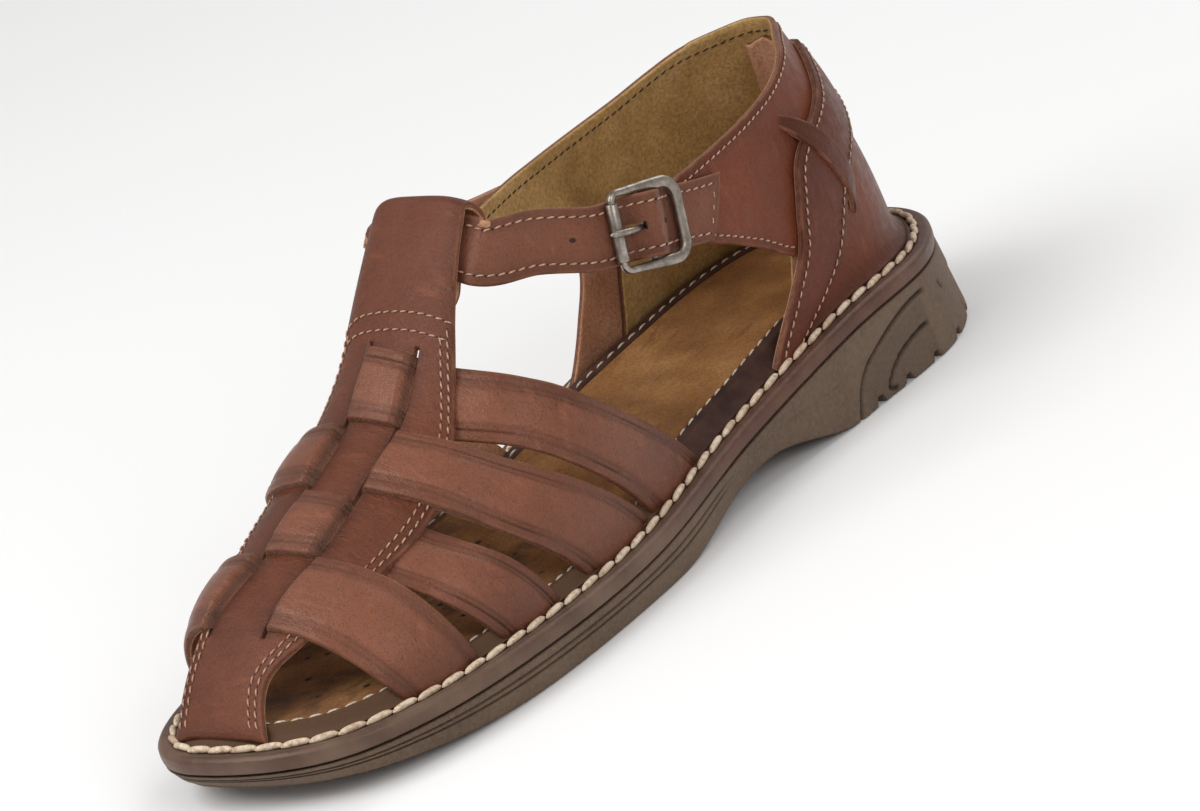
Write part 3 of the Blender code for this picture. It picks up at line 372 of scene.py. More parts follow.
def span_points(ring, columns):
    """Rows of points across a ring, from its lateral to its medial side, without its own."""
    t = np.linspace(0.0, 1.0, columns + 1)[None, 1:-1, None]
    lateral = ring[1:RING_HALF][:, None]
    return lateral + (ring[:RING_HALF:-1][:, None] - lateral) * t


def cap_cells(ring, first_inner, inner):
    """Quads of a cap: its border uses the ring's own points, the rest is numbered from
    first_inner."""
    columns = inner.shape[1] + 1
    grid = np.empty((RING_HALF + 1, columns + 1), int)
    grid[:, 0] = ring[:RING_HALF + 1]
    grid[1:RING_HALF, columns] = ring[:RING_HALF:-1]
    grid[0, :] = ring[0]
    grid[RING_HALF, :] = ring[RING_HALF]
    grid[1:RING_HALF, 1:columns] = first_inner + np.arange(inner[..., 0].size).reshape(inner.shape[:2])
    return grid_cells(grid)


def capped(rings, under, over):
    """Points and faces of stacked rings, closed below and above by two fields of points."""
    levels, count = rings.shape[:2]
    first = levels * count
    verts = np.concatenate([rings.reshape(-1, 3), under.reshape(-1, 3), over.reshape(-1, 3)])
    low = cap_cells(np.arange(count), first, under)
    high = cap_cells(np.arange(count) + first - count, first + under[..., 0].size, over)
    return verts, np.concatenate([ring_cells(levels, count), low[:, ::-1], high])


def outward_faces(points, faces):
    """Turns all faces of a closed mesh over if the volume that they enclose is negative."""
    a, b, c, d = (points[faces[:, i]] for i in range(4))
    volume = np.sum(a * np.cross(b, c)) + np.sum(a * np.cross(c, d))
    return faces[:, ::-1] if volume < 0.0 else faces


def add_piece(name, points, faces, materials, slots, replaced=(), values=None,
              sharp=50.0):
    """Mesh object that rides on the shoe's one body. slots gives each face its material, values
    are float attributes of the points. Quads with a repeated point become triangles."""
    mesh = bpy.data.meshes.new(name)
    faces = outward_faces(points, faces)
    cells = faces.tolist()
    twice = ((faces == np.roll(faces, -1, axis=1)).any(axis=1)).nonzero()[0]
    for i in twice:
        cells[i] = list(dict.fromkeys(cells[i]))
    mesh.from_pydata((points + SHIFT).tolist(), [], cells)
    for material in materials:
        mesh.materials.append(material)
    slots = np.broadcast_to(np.asarray(slots, np.int32), (len(cells),))
    mesh.polygons.foreach_set("material_index", np.ascontiguousarray(slots))
    for key, data in (values or {}).items():
        layer = mesh.attributes.new(key, "FLOAT", "POINT")
        layer.data.foreach_set("value", np.ascontiguousarray(data, dtype=np.float32).ravel())
    mesh.shade_smooth()
    mesh.set_sharp_from_angle(angle=np.radians(sharp))
    item = bpy.data.objects.new(name, mesh)
    bpy.context.collection.objects.link(item)
    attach(item, "root")
    if replaced:
        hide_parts(*replaced)
    return item


def distance_to_line(station, level, line):
    """Distance in metres on the heel's side from a polyline of stations and levels."""
    size = np.array([SOLE_LENGTH, HEEL_SIDE_HEIGHT])
    point = np.stack([station, level], axis=-1) * size
    best = np.full(station.shape, 1.0)
    for start, end in zip(line[:-1] * size, line[1:] * size):
        run = end - start
        t = np.clip(((point - start) * run).sum(axis=-1) / (run**2).sum(), 0.0, 1.0)
        best = np.minimum(best, np.linalg.norm(point - start - t[..., None] * run, axis=-1))
    return best


def refined(line, count=40):
    """More points on a groove's line, spaced evenly by their number."""
    knots = np.column_stack([np.linspace(0.0, 1.0, len(line)), line])
    t = np.linspace(0.0, 1.0, count)
    return np.column_stack([curve(knots, t, 1), curve(knots, t, 2)])


def tread_lift(share, x):
    """How far the bottom is cut up into grooves: right across under the heel, within a margin
    under the ball. Each groove is a flat-topped ridge function of the station."""
    def groove(centres, s):
        d = np.abs(s[..., None] - centres) * SOLE_LENGTH
        return np.max(ease((TREAD_WIDTH / 2 + 0.0004 - d) / 0.0008), axis=-1)

    lateral = half_width(share, 1)
    medial = -half_width(share, -1)
    margin = np.minimum(lateral - x, x - medial)
    ball = groove(BALL_TREADS, share) * ease((margin - 0.014) / 0.001)
    return TREAD_DEPTH * np.maximum(groove(HEEL_TREADS, share), ball)


def outsole_mesh():
    """Rings from the bottom edge to the midsole, each inset by the lean, the edge's rounding and
    the grooves, closed by a cap under the midsole and by the treaded bottom."""
    points, inward, share = rim_ring()
    level = np.concatenate([[0.0, 0.012, 0.03, 0.055], np.linspace(0.09, 1.0, SIDE_LEVELS - 4)])[:, None]
    bottom = bottom_height(share)[None, :]
    height = rim_height(share)[None, :] - MIDSOLE_THICKNESS - GAP - bottom
    lean = HEEL_FLARE * curve(LEAN, share, 1)[None, :]
    below = 1.0 - np.minimum(level * height / BOTTOM_ROUNDING, 1.0)
    rounding = BOTTOM_ROUNDING * (1.0 - np.sqrt(np.clip(1.0 - below**2, 0.0, 1.0)))
    fade = ease((share - 0.44) / 0.05)[None, :]
    lines = sum(np.exp(-((level - centre) / 0.035) ** 2) for centre in LINE_LEVELS)
    step = 0.00035 * ease((level - 0.60) / 0.06) * (1.0 - fade)
    station = np.broadcast_to(share[None, :], level.shape[:1] + share.shape)
    wide = np.broadcast_to(level, station.shape)
    lines_near = [np.exp(-(distance_to_line(station, wide, line) / GROOVE_HALF_WIDTH) ** 2)
                  for line in (refined(OUTER_GROOVE), refined(INNER_GROOVE), TICK)]
    grooves = GROOVE_DEPTH * (lines_near[0] + lines_near[1] + 0.4 * lines_near[2])
    between = curve(OUTER_GROOVE[:6], station, 1)
    field = ease((between - wide) / 0.08) * ease((station - 0.140) / 0.006) * ease((0.262 - station) / 0.006)
    ripple = 0.00016 * np.sin(station * SOLE_LENGTH * 2100.0) * np.sin(wide * 60.0 + station * 300.0)
    inset = lean * (1.0 - level) + rounding + GAP * ease((level - 0.97) / 0.03)
    inset = inset + LINE_DEPTH * lines * fade + grooves + field * (0.00025 + ripple) - step
    plan = points[None] + inward[None] * inset[..., None]
    z = bottom + level * height
    z = z + tread_lift(station, plan[..., 0]) * ease((0.32 - level) / 0.30)
    rings = np.concatenate([plan, z[..., None]], axis=-1)
    under = span_points(rings[0], BOTTOM_COLUMNS)
    s = share_at(under[..., 1])
    under[..., 2] = bottom_height(s) + tread_lift(s, under[..., 0])
    verts, faces = capped(rings, under, span_points(rings[-1], TOP_COLUMNS))
    # groove marks where painted shade darkens the grooves and fine lines of the side
    shades = {"rough": field, "groove": np.clip(sum(lines_near) + 0.8 * lines * fade, 0.0, 1.0)}
    rest = np.zeros(len(verts) - field.size)
    return verts, faces, {key: np.concatenate([value.ravel(), rest]) for key, value in shades.items()}


def link(material, output, socket="Base Color"):
    material.node_tree.links.new(output, shader_of(material).inputs[socket])


def texture(material, kind, scale, stretch=(1.0, 1.0, 1.0)):
    """Texture on Object coordinates; scale is features per metre."""
    nodes, links = material.node_tree.nodes, material.node_tree.links
    place = nodes.new("ShaderNodeTexCoord")
    mapping = nodes.new("ShaderNodeMapping")
    mapping.inputs["Scale"].default_value = stretch
    links.new(place.outputs["Object"], mapping.inputs["Vector"])
    node = nodes.new(kind)
    node.inputs["Scale"].default_value = scale
    links.new(mapping.outputs["Vector"], node.inputs["Vector"])
    return node


def noise(material, scale, detail=4.0, roughness=0.55, stretch=(1.0, 1.0, 1.0)):
    node = texture(material, "ShaderNodeTexNoise", scale, stretch)
    node.inputs["Detail"].default_value = detail
    node.inputs["Roughness"].default_value = roughness
    return node.outputs["Fac"]


def cells(material, scale, feature="DISTANCE_TO_EDGE"):
    """Voronoi cells, as the pebbles of a grain."""
    node = texture(material, "ShaderNodeTexVoronoi", scale)
    node.feature = feature
    return node.outputs["Distance"]


def ramp(material, value, *stops):
    """Colour ramp over a value: stops are (position, colour)."""
    node = material.node_tree.nodes.new("ShaderNodeValToRGB")
    material.node_tree.links.new(value, node.inputs["Fac"])
    while len(node.color_ramp.elements) < len(stops):
        node.color_ramp.elements.new(0.5)
    for element, (position, colour) in zip(node.color_ramp.elements, stops):
        element.position = position
        element.color = (*colour, 1.0)
    return node.outputs["Color"]


def span(material, value, low, high, to_low, to_high):
    """Maps a value from low..high to to_low..to_high and holds it there."""
    node = material.node_tree.nodes.new("ShaderNodeMapRange")
    material.node_tree.links.new(value, node.inputs["Value"])
    for key, number in (("From Min", low), ("From Max", high), ("To Min", to_low), ("To Max", to_high)):
        node.inputs[key].default_value = number
    return node.outputs["Result"]


def blend(material, share, a, b):
    """Mixes two colours; each may be an output or a fixed colour."""
    node = material.node_tree.nodes.new("ShaderNodeMix")
    node.data_type = "RGBA"
    links = material.node_tree.links
    links.new(share, node.inputs[0])
    for socket, value in ((node.inputs[6], a), (node.inputs[7], b)):
        if isinstance(value, tuple):
            socket.default_value = (*value, 1.0)
        else:
            links.new(value, socket)
    return node.outputs[2]


def product(material, a, b):
    node = material.node_tree.nodes.new("ShaderNodeMath")
    node.operation = "MULTIPLY"
    for socket, value in zip(node.inputs, (a, b)):
        material.node_tree.links.new(value, socket)
    return node.outputs[0]


def attribute(material, name):
    node = material.node_tree.nodes.new("ShaderNodeAttribute")
    node.attribute_name = name
    return node.outputs["Fac"]


def bump(material, *heights):
    """Chain of bumps: each is (height output, depth in metres)."""
    last = None
    for height, depth in heights:
        node = material.node_tree.nodes.new("ShaderNodeBump")
        node.inputs["Strength"].default_value = 1.0
        node.inputs["Distance"].default_value = depth
        material.node_tree.links.new(height, node.inputs["Height"])
        if last is not None:
            material.node_tree.links.new(last, node.inputs["Normal"])
        last = node.outputs["Normal"]
    link(material, last, "Normal")


rubber = new_material("taupe_rubber", (0.118, 0.077, 0.050), 0.6, Specular_Tint=(1.0, 0.80, 0.66, 1.0))
mottle = noise(rubber, 34.0, 5.0)
grain = noise(rubber, 700.0, 5.0, 0.7)
tone = ramp(rubber, mottle, (0.30, (0.076, 0.046, 0.030)), (0.52, (0.110, 0.070, 0.046)),
            (0.75, (0.150, 0.104, 0.072)))
tone = blend(rubber, span(rubber, grain, 0.35, 0.70, 0.0, 0.55), tone, (0.185, 0.130, 0.092))
tone = blend(rubber, span(rubber, attribute(rubber, "rough"), 0.0, 1.0, 0.0, 0.45), tone,
             (0.085, 0.060, 0.046))
# painted shade in the grooves and fine lines of the side
link(rubber, blend(rubber, span(rubber, attribute(rubber, "groove"), 0.15, 0.9, 0.0, 0.85), tone,
                   (0.022, 0.013, 0.010)))
link(rubber, span(rubber, mottle, 0.3, 0.7, 0.52, 0.70), "Roughness")
bump(rubber, (grain, 0.00045), (cells(rubber, 900.0), 0.00028))
verts, faces, shades = outsole_mesh()
add_piece("outsole_rubber", verts, faces, [rubber], 0, ("outsole",), shades)


# Midsole
# Dark, waxed band that the upper is stitched down to. Its top lies flat around the foot, with a
# shallow channel for the thick pale thread that goes right round the shoe.
CHANNEL_INSET = 0.0042
STITCH_PITCH = 0.0072
STITCH_LENGTH = 0.0078
STITCH_RADIUS = 0.00092
BAND_CORNER = 0.0010


def midsole_mesh():
    """Rings of a half-round band, then in over the channel; both caps span the ring."""
    points, inward, share = rim_ring()
    top = rim_height(share)
    side = np.linspace(0.0, 1.0, 15)
    corners = sum(1.0 - np.sin(np.pi * np.clip(distance, 0.0, 1.0) / 2.0)
                  for distance in (side / 0.16, (1.0 - side) / 0.24))
    insets = list(BAND_CORNER * corners - 0.00035 * np.sin(np.pi * side))
    heights = [top - MIDSOLE_THICKNESS * (1.0 - s) for s in side]
    for distance in np.arange(0.0016, 0.0150, 0.0006):
        insets.append(distance)
        heights.append(top - 0.0005 * np.exp(-((distance - CHANNEL_INSET) / 0.0011) ** 2) - 0.00004)
    rings = np.array([np.column_stack([points + inward * i, h]) for i, h in zip(insets, heights)])
    return capped(rings, span_points(rings[0], 8), span_points(rings[-1], 8))


def run_length(points):
    """Distance along a line of points from its first one."""
    return np.concatenate([[0.0], np.cumsum(np.linalg.norm(np.diff(points, axis=0), axis=1))])


def read_line(points, length, at):
    return np.stack([np.interp(at, length, points[:, i]) for i in range(3)], axis=1)


def even_ring(inset, lift, pitch):
    """Points at even distances along the rim, moved in and up, with their directions."""
    points, inward, share = rim_ring()
    path = np.column_stack([points + inward * inset, rim_height(share) + lift])
    closed = np.vstack([path, path[:1]])
    length = run_length(closed)
    count = int(round(length[-1] / pitch))
    at = np.arange(count) * length[-1] / count
    spots = read_line(closed, length, at)
    return spots, unit(read_line(closed, length, (at + 0.001) % length[-1]) - spots)


def tubes(rings, closed=False):
    """Points and faces of tubes: rings are indexed by tube, place along it and turn. Open ends
    are closed with quads between the two halves of their ring."""
    sides = rings.shape[2]
    index = np.arange(rings[..., 0].size).reshape(rings.shape[:3])
    if closed:
        index = np.concatenate([index, index[:, :1]], axis=1)
    after = np.roll(index, -1, axis=2)
    faces = [np.stack([index[:, :-1], after[:, :-1], after[:, 1:], index[:, 1:]], axis=-1).reshape(-1, 4)]
    for ring, order in ((index[:, 0], -1), (index[:, -1], 1)):
        for k in range(1, 0 if closed else sides // 2):
            quad = [ring[:, k - 1], ring[:, k], ring[:, sides - 1 - k], ring[:, (sides - k) % sides]]
            faces.append(np.stack(quad, axis=-1)[:, ::order])
    return rings.reshape(-1, 3), np.concatenate(faces)


def thread_mesh(spots, run, out, length, radius, arch, skew=0.0, sides=8, rings=7):
    """Stitches as short tubes: along each one the radius follows a rounded profile
    (1 - (2s)^3.2)^(1/2) and the middle rises by arch (1 - (2s)^4), so both ends dip into the hole."""
    side = np.cross(out, run)
    run = run * np.cos(skew) + side * np.sin(skew)
    side = np.cross(out, run)
    s = np.linspace(-0.5, 0.5, rings)
    turn = np.linspace(0.0, 2.0 * np.pi, sides, endpoint=False)
    fat = np.sqrt(np.clip(1.0 - np.abs(2.0 * s) ** 3.2, 0.05, 1.0)) * radius
    rise = arch * (1.0 - (2.0 * s) ** 4)
    centre = (spots[:, None] + run[:, None] * (s * length)[None, :, None]
              + out[:, None] * rise[None, :, None])
    circle = (side[:, None, None] * np.cos(turn)[None, None, :, None]
              + out[:, None, None] * np.sin(turn)[None, None, :, None])
    return tubes(centre[:, :, None] + circle * fat[None, :, None, None])


band = new_material("waxed_band", (0.085, 0.038, 0.028), 0.4, Specular_Tint=(1.0, 0.72, 0.60, 1.0),
                    Coat_Weight=0.08, Coat_Roughness=0.35)
sheen = noise(band, 60.0, 5.0)
heel_tone = ramp(band, sheen, (0.30, (0.046, 0.016, 0.010)), (0.52, (0.086, 0.034, 0.022)),
                 (0.80, (0.150, 0.080, 0.054)))
fore_tone = ramp(band, sheen, (0.30, (0.066, 0.038, 0.026)), (0.52, (0.120, 0.076, 0.052)),
                 (0.80, (0.180, 0.124, 0.090)))
link(band, blend(band, attribute(band, "fore"), heel_tone, fore_tone))
link(band, span(band, sheen, 0.3, 0.7, 0.36, 0.55), "Roughness")
bump(band, (noise(band, 260.0, 4.0, stretch=(1.0, 1.0, 3.0)), 0.0003), (noise(band, 2400.0, 2.0), 0.00005))
verts, faces = midsole_mesh()
fore = 0.8 * ease((share_at(verts[:, 1]) - 0.38) / 0.25) * (0.35 + 0.65 * ease((verts[:, 0] + 0.02) / 0.03))
add_piece("midsole_band", verts, faces, [band], 0, ("midsole",), {"fore": fore})

welt_thread = new_material("welt_thread", (0.74, 0.58, 0.42), 0.75)
twist = noise(welt_thread, 700.0, 4.0)
soil = noise(welt_thread, 90.0, 4.0)
tone = ramp(welt_thread, twist, (0.30, (0.44, 0.29, 0.18)), (0.52, (0.76, 0.60, 0.44)),
            (0.80, (0.92, 0.80, 0.64)))
link(welt_thread, blend(welt_thread, span(welt_thread, soil, 0.50, 0.72, 0.0, 0.6), tone, (0.34, 0.19, 0.11)))
bump(welt_thread, (noise(welt_thread, 2600.0, 2.0), 0.0003))
spots, run = even_ring(CHANNEL_INSET, 0.0001, STITCH_PITCH)
upwards = np.cross(np.cross(run, [0.0, 0.0, 1.0]), run)
verts, faces = thread_mesh(spots, run, upwards, STITCH_LENGTH, STITCH_RADIUS, 0.00030, skew=0.14, sides=10,
                           rings=9)
add_piece("welt_stitches", verts, faces, [welt_thread], 0, (), None, 80.0)


# Insole
# Tan suede over a thin board, punched with small holes under the toes, bound with a dark leather
# strip that is sewn on along its inner edge.
INSOLE_THICKNESS = 0.0032
BINDING_WIDTH = 0.0046
FORE_BINDING = 0.0020      # its width in the forepart
SKIRT_START = 0.0060       # distance from the rim at which the binding leaves the midsole
BINDING_THICKNESS = 0.0008
INSOLE_COLUMNS = 36
# station, distance of the insole's edge from the leather's inner face as a share of the leather
INSOLE_MARGIN = np.array([
    (0.00, 1.90),
    (0.28, 1.75),
    (0.37, 0.80),
    (0.50, 0.80),
    (0.57, -0.30),
    (0.85, -0.30),
    (0.95, -0.10),
    (1.00, 0.20),
])


def insole_inset(share):
    margin = np.interp(share, INSOLE_MARGIN[:, 0], INSOLE_MARGIN[:, 1])
    return FEATHER_INSET + LEATHER * (1.0 + margin)


def binding_width(share):
    return BINDING_WIDTH + (FORE_BINDING - BINDING_WIDTH) * ease((share - 0.46) / 0.12)


def insole_dish(share, x):
    """Hollow pressed in by heel and ball: two soft bowls."""
    heel = np.exp(-((share - 0.13) / 0.08) ** 2 - (x / 0.024) ** 2)
    ball = np.exp(-((share - 0.70) / 0.10) ** 2 - (x / 0.034) ** 2)
    return -0.0011 * heel - 0.0009 * ball


def insole_height(plan):
    """Top of the insole."""
    s = share_at(plan[..., 1])
    return rim_height(s) + GAP + INSOLE_THICKNESS + insole_dish(s, plan[..., 0])


def insole_mesh():
    """Edge rings, then the dished top as a cap; the underside is a flat cap."""
    points, inward, share = rim_ring()
    base = insole_inset(share)
    rings = []
    for inset, lift in ((0.0, 0.0), (0.0, 0.3), (0.0, 0.75), (0.0002, 0.92), (0.0006, 0.99), (0.0010, 1.0)):
        plan = points + inward * (base + inset)[:, None]
        rise = GAP + lift * INSOLE_THICKNESS
        rings.append(np.column_stack([plan, rim_height(share_at(plan[:, 1])) + rise]))
    over = span_points(rings[-1], INSOLE_COLUMNS)
    over[..., 2] += insole_dish(share_at(over[..., 1]), over[..., 0])
    return capped(np.array(rings), span_points(rings[0], INSOLE_COLUMNS), over)


def binding_mesh():
    """Strip round the insole: a closed section that rises from the midsole over the insole's edge
    and lies on its top. Heights outside the edge are those above the midsole."""
    points, inward, share = rim_ring()
    base = insole_inset(share)
    wide = binding_width(share)
    skirt = [(0.0, 0.00015), (0.25, 0.00045), (0.55, 0.0009), (0.85, 0.0018)]
    section = [(SKIRT_START + (base - SKIRT_START) * u, GAP + lift, False) for u, lift in skirt]
    section += [(base + 0.0001, 0.0003, True), (base + 0.1 * wide, 0.0007, True)]
    section += [(base + wide * u, BINDING_THICKNESS * (1.0 - np.abs(2.0 * u - 1.0) ** 5), True)
                for u in np.linspace(0.2, 1.0, 8)]
    section += [(base + wide, -0.0006, True), (base + 0.0012, -0.0006, True), (base + 0.0012, 0.0001, False)]
    rings = []
    for inset, lift, on_top in section:
        plan = points + inward * inset[:, None]
        rings.append(np.column_stack([plan, (insole_height(plan) if on_top
                                             else rim_height(share_at(plan[:, 1]))) + lift]))
    rings = np.array(rings)
    levels, count = rings.shape[:2]
    return rings.reshape(-1, 3), ring_cells(levels + 1, count) % (levels * count)


def suede_material(name, dark, middle, light, scale=140.0):
    """Napped leather: mottled colour, no gloss, a fine fibrous bump and a soft sheen."""
    material = new_material(name, middle, 0.92, Sheen_Weight=0.08, Sheen_Roughness=0.5,
                            Specular_IOR_Level=0.12)
    cloud = noise(material, scale * 0.25, 5.0, 0.6)
    nap = noise(material, scale * 9.0, 5.0, 0.7)
    tone = ramp(material, cloud, (0.28, dark), (0.52, middle), (0.76, light))
    node = material.node_tree.nodes.new("ShaderNodeHueSaturation")
    material.node_tree.links.new(span(material, nap, 0.30, 0.70, 0.62, 1.32), node.inputs["Value"])
    material.node_tree.links.new(tone, node.inputs["Color"])
    link(material, node.outputs["Color"])
    bump(material, (cloud, 0.0012), (nap, 0.00035))
    return material


def painted(material):
    """Output that colours the material so far."""
    return shader_of(material).inputs["Base Color"].links[0].from_socket


bed = suede_material("bed_suede", (0.150, 0.058, 0.014), (0.280, 0.120, 0.032), (0.430, 0.215, 0.072))
# painted shade: the punched holes are not cut, only drawn as dark dots
holes = product(bed, span(bed, cells(bed, 155.0, "F1"), 0.10, 0.20, 1.0, 0.0), attribute(bed, "punched"))
smudge = product(bed, span(bed, noise(bed, 55.0, 5.0, 0.65), 0.48, 0.66, 0.0, 0.85), attribute(bed, "worn"))
scrape = span(bed, noise(bed, 60.0, 4.0, 0.6, (5.0, 1.0, 1.0)), 0.60, 0.66, 0.0, 0.5)
tone = blend(bed, smudge, painted(bed), (0.060, 0.022, 0.008))
tone = blend(bed, scrape, tone, (0.140, 0.052, 0.014))
link(bed, blend(bed, holes, tone, (0.014, 0.006, 0.003)))
verts, faces = insole_mesh()
station = share_at(verts[:, 1])
shades = {"punched": ease((station - 0.52) / 0.03) * ease((0.94 - station) / 0.02),
          "worn": 0.25 + 0.75 * ease((station - 0.50) / 0.15)}
add_piece("insole_bed", verts, faces, [bed], 0, ("insole",), shades)

binding = new_material("binding_leather", (0.050, 0.022, 0.015), 0.72, Specular_IOR_Level=0.22)
mottle = noise(binding, 90.0, 4.0)
tone = ramp(binding, mottle, (0.3, (0.030, 0.012, 0.009)), (0.7, (0.085, 0.038, 0.026)))
link(binding, blend(binding, attribute(binding, "fore"), tone, (0.120, 0.064, 0.034)))
bump(binding, (cells(binding, 1300.0), 0.00015), (mottle, 0.0006))
verts, faces = binding_mesh()
add_piece("insole_binding", verts, faces, [binding], 0, (),
          {"fore": 0.8 * ease((share_at(verts[:, 1]) - 0.46) / 0.12)})

fine_thread = new_material("fine_thread", (0.48, 0.27, 0.18), 0.7)
link(fine_thread, ramp(fine_thread, noise(fine_thread, 1500.0, 3.0), (0.3, (0.30, 0.15, 0.095)),
                       (0.6, (0.54, 0.33, 0.225)), (0.8, (0.70, 0.50, 0.38))))
pale_thread = new_material("pale_thread", (0.62, 0.52, 0.40), 0.7)
link(pale_thread, ramp(pale_thread, noise(pale_thread, 1200.0, 3.0), (0.3, (0.36, 0.27, 0.19)),
                       (0.6, (0.66, 0.56, 0.44)), (0.8, (0.80, 0.72, 0.60))))
# dark material: painted shade inside needle holes and strap holes, and the real colour of the dark lining
# thread
hole_shade_and_dark_thread = new_material("needle_hole_shade_and_dark_thread", (0.030, 0.012, 0.008), 0.9)


def stitch_row(name, path, out, pitch=0.0028, length=0.0021, radius=0.00025, material=fine_thread, skew=0.16,
               holes=True):
    """Row of fine stitches along a path on a surface, with a needle hole between each two, drawn as a dark
    dot of painted shade.
    """
    along = run_length(path)
    count = max(int(along[-1] / pitch), 1)
    at = (np.arange(count) + 0.5) * along[-1] / count
    spots = read_line(path, along, at)
    run = unit(read_line(path, along, at + 0.0004) - read_line(path, along, at - 0.0004))
    normal = read_line(out, along, at)
    normal = unit(normal - run * np.sum(normal * run, axis=1, keepdims=True))
    verts, faces = thread_mesh(spots + normal * 0.00005, run, normal, length, radius, 0.00016, skew, 6, 5)
    slots = np.zeros(len(faces), int)
    if holes:
        # needle holes as dark dots of painted shade, sunk a little into the leather
        dots, dot_faces = thread_mesh(spots + run * pitch * 0.5 - normal * 0.00018, run, normal, 0.00085,
                                      0.00036, 0.0, 0.0, 6, 3)
        faces = np.concatenate([faces, dot_faces + len(verts)])
        slots = np.concatenate([slots, np.ones(len(dot_faces), int)])
        verts = np.concatenate([verts, dots])
    add_piece(name, verts, faces, [material, hole_shade_and_dark_thread], slots, (), None, 80.0)


points, inward, share = rim_ring()
plan = points + inward * (insole_inset(share) + binding_width(share) * 0.72)[:, None]
path = np.column_stack([plan, insole_height(plan) + BINDING_THICKNESS])
path = np.vstack([path, path[:1]])
stitch_row("binding_stitches", path, np.tile([0.0, 0.0, 1.0], (len(path), 1)), 0.0046, 0.0034, 0.00030,
           pale_thread, 0.08, holes=False)


# Leather of the upper
# Waxed reddish-brown hide, 2 mm thick: the grain side is dyed, and the cut edges stay pale. The
# walls are grids whose borders are rounded off like a pared edge.
def scaled(colour, factor):
    return tuple(value * factor for value in colour)


def upper_leather(name, middle, gloss=0.40, tint=(1.0, 0.58, 0.46)):
    """Pull-up leather: clouds of tone, darker along its borders with a painted highlight right at
    them, painted shade where the wall asks for it, fine pebbles, long wrinkles and a thin wax coat."""
    dark, light = scaled(middle, 0.58), scaled(middle, 1.42)
    material = new_material(name, middle, gloss, Specular_IOR_Level=0.42, Specular_Tint=(*tint, 1.0),
                            Coat_Weight=0.03, Coat_Roughness=0.30)
    cloud = noise(material, 22.0, 6.0, 0.62)
    fine = noise(material, 330.0, 4.0, 0.6)
    speck = noise(material, 1500.0, 3.0, 0.7)
    scuff = noise(material, 75.0, 6.0, 0.7, (1.0, 3.2, 1.6))
    edge = attribute(material, "border")
    # painted highlight on the rounded border, broken up by noise
    edge_highlight = product(material, span(material, edge, 0.0, 0.0010, 1.0, 0.0),
                     span(material, noise(material, 120.0), 0.40, 0.62, 0.10, 0.75))
    burnt = product(material, span(material, edge, 0.0006, 0.0050, 0.75, 0.0),
                    span(material, cloud, 0.30, 0.70, 1.0, 0.5))
    tone = ramp(material, cloud, (0.28, dark), (0.50, middle), (0.76, light))
    # painted shade: the wall's darkening values draw the skin darker
    shade_share = span(material, attribute(material, "painted_shade"), 0.0, 1.0, 0.0, 0.85)
    for share, colour in ((span(material, fine, 0.35, 0.75, 0.0, 0.35), light),
                          (span(material, speck, 0.52, 0.72, 0.0, 0.55), scaled(dark, 0.45)),
                          (span(material, scuff, 0.57, 0.74, 0.0, 0.55), scaled(light, 1.5)),
                          (burnt, scaled(dark, 0.8)), (edge_highlight, (0.270, 0.105, 0.058)),
                          (shade_share, scaled(dark, 0.30))):
        tone = blend(material, share, tone, colour)
    link(material, tone)
    link(material, span(material, fine, 0.3, 0.7, gloss - 0.06, gloss + 0.14), "Roughness")
    wrinkle = noise(material, 130.0, 5.0, 0.65, (1.0, 2.4, 1.0))
    bump(material, (wrinkle, 0.0006), (cells(material, 1500.0), 0.00012), (speck, 0.00006))
    return material


vamp_leather = upper_leather("vamp_leather", (0.114, 0.034, 0.017))
strap_leather = upper_leather("strap_leather", (0.146, 0.054, 0.031))
cross_leather = upper_leather("cross_leather", (0.180, 0.063, 0.035), 0.29, (1.0, 0.70, 0.58))
counter_leather = upper_leather("counter_leather", (0.120, 0.028, 0.011))
heel_leather = upper_leather("heel_leather", (0.084, 0.018, 0.008))
raw_edge = new_material("raw_edge", (0.270, 0.120, 0.068), 0.85)
fibre = noise(raw_edge, 900.0, 5.0, 0.7)
link(raw_edge, ramp(raw_edge, fibre, (0.3, (0.110, 0.042, 0.023)), (0.7, (0.270, 0.120, 0.068))))
bump(raw_edge, (fibre, 0.0005))
flesh_side = suede_material("flesh_side", (0.340, 0.150, 0.080), (0.500, 0.245, 0.140), (0.640, 0.360, 0.225))
EDGE_ROUND = 0.0006


def surface_normals(grid, facing):
    """Unit normals of a grid from its neighbours, turned to the side that facing points to."""
    normal = np.cross(np.gradient(grid, axis=0), np.gradient(grid, axis=1))
    normal /= np.maximum(np.linalg.norm(normal, axis=2, keepdims=True), 1e-12)
    return normal * np.where(np.sum(normal * facing, axis=(0, 1, 2)) >= 0.0, 1.0, -1.0)


def measures(grid):
    """Distances across (along axis 0) and along (axis 1) from the first row or column."""
    down = np.linalg.norm(np.diff(grid, axis=0), axis=2)
    over = np.linalg.norm(np.diff(grid, axis=1), axis=2)
    zero_row = np.zeros((1, grid.shape[1]))
    zero_column = np.zeros((grid.shape[0], 1))
    return (np.concatenate([zero_row, np.cumsum(down, axis=0)]),
            np.concatenate([zero_column, np.cumsum(over, axis=1)], axis=1))


def side_distance(distance):
    """Nearer of the distances from the first and from the last row."""
    return np.minimum(distance, distance[-1:] - distance)


def border_distance(grid):
    """Distance of each grid point from the nearest border."""
    across, along = measures(grid)
    return np.minimum(side_distance(across), side_distance(along.T).T)


def crowned(distance, height):
    """Parabola of a height across rows whose distances from the first are given."""
    return height * (1.0 - (2.0 * distance / distance[-1:] - 1.0) ** 2)


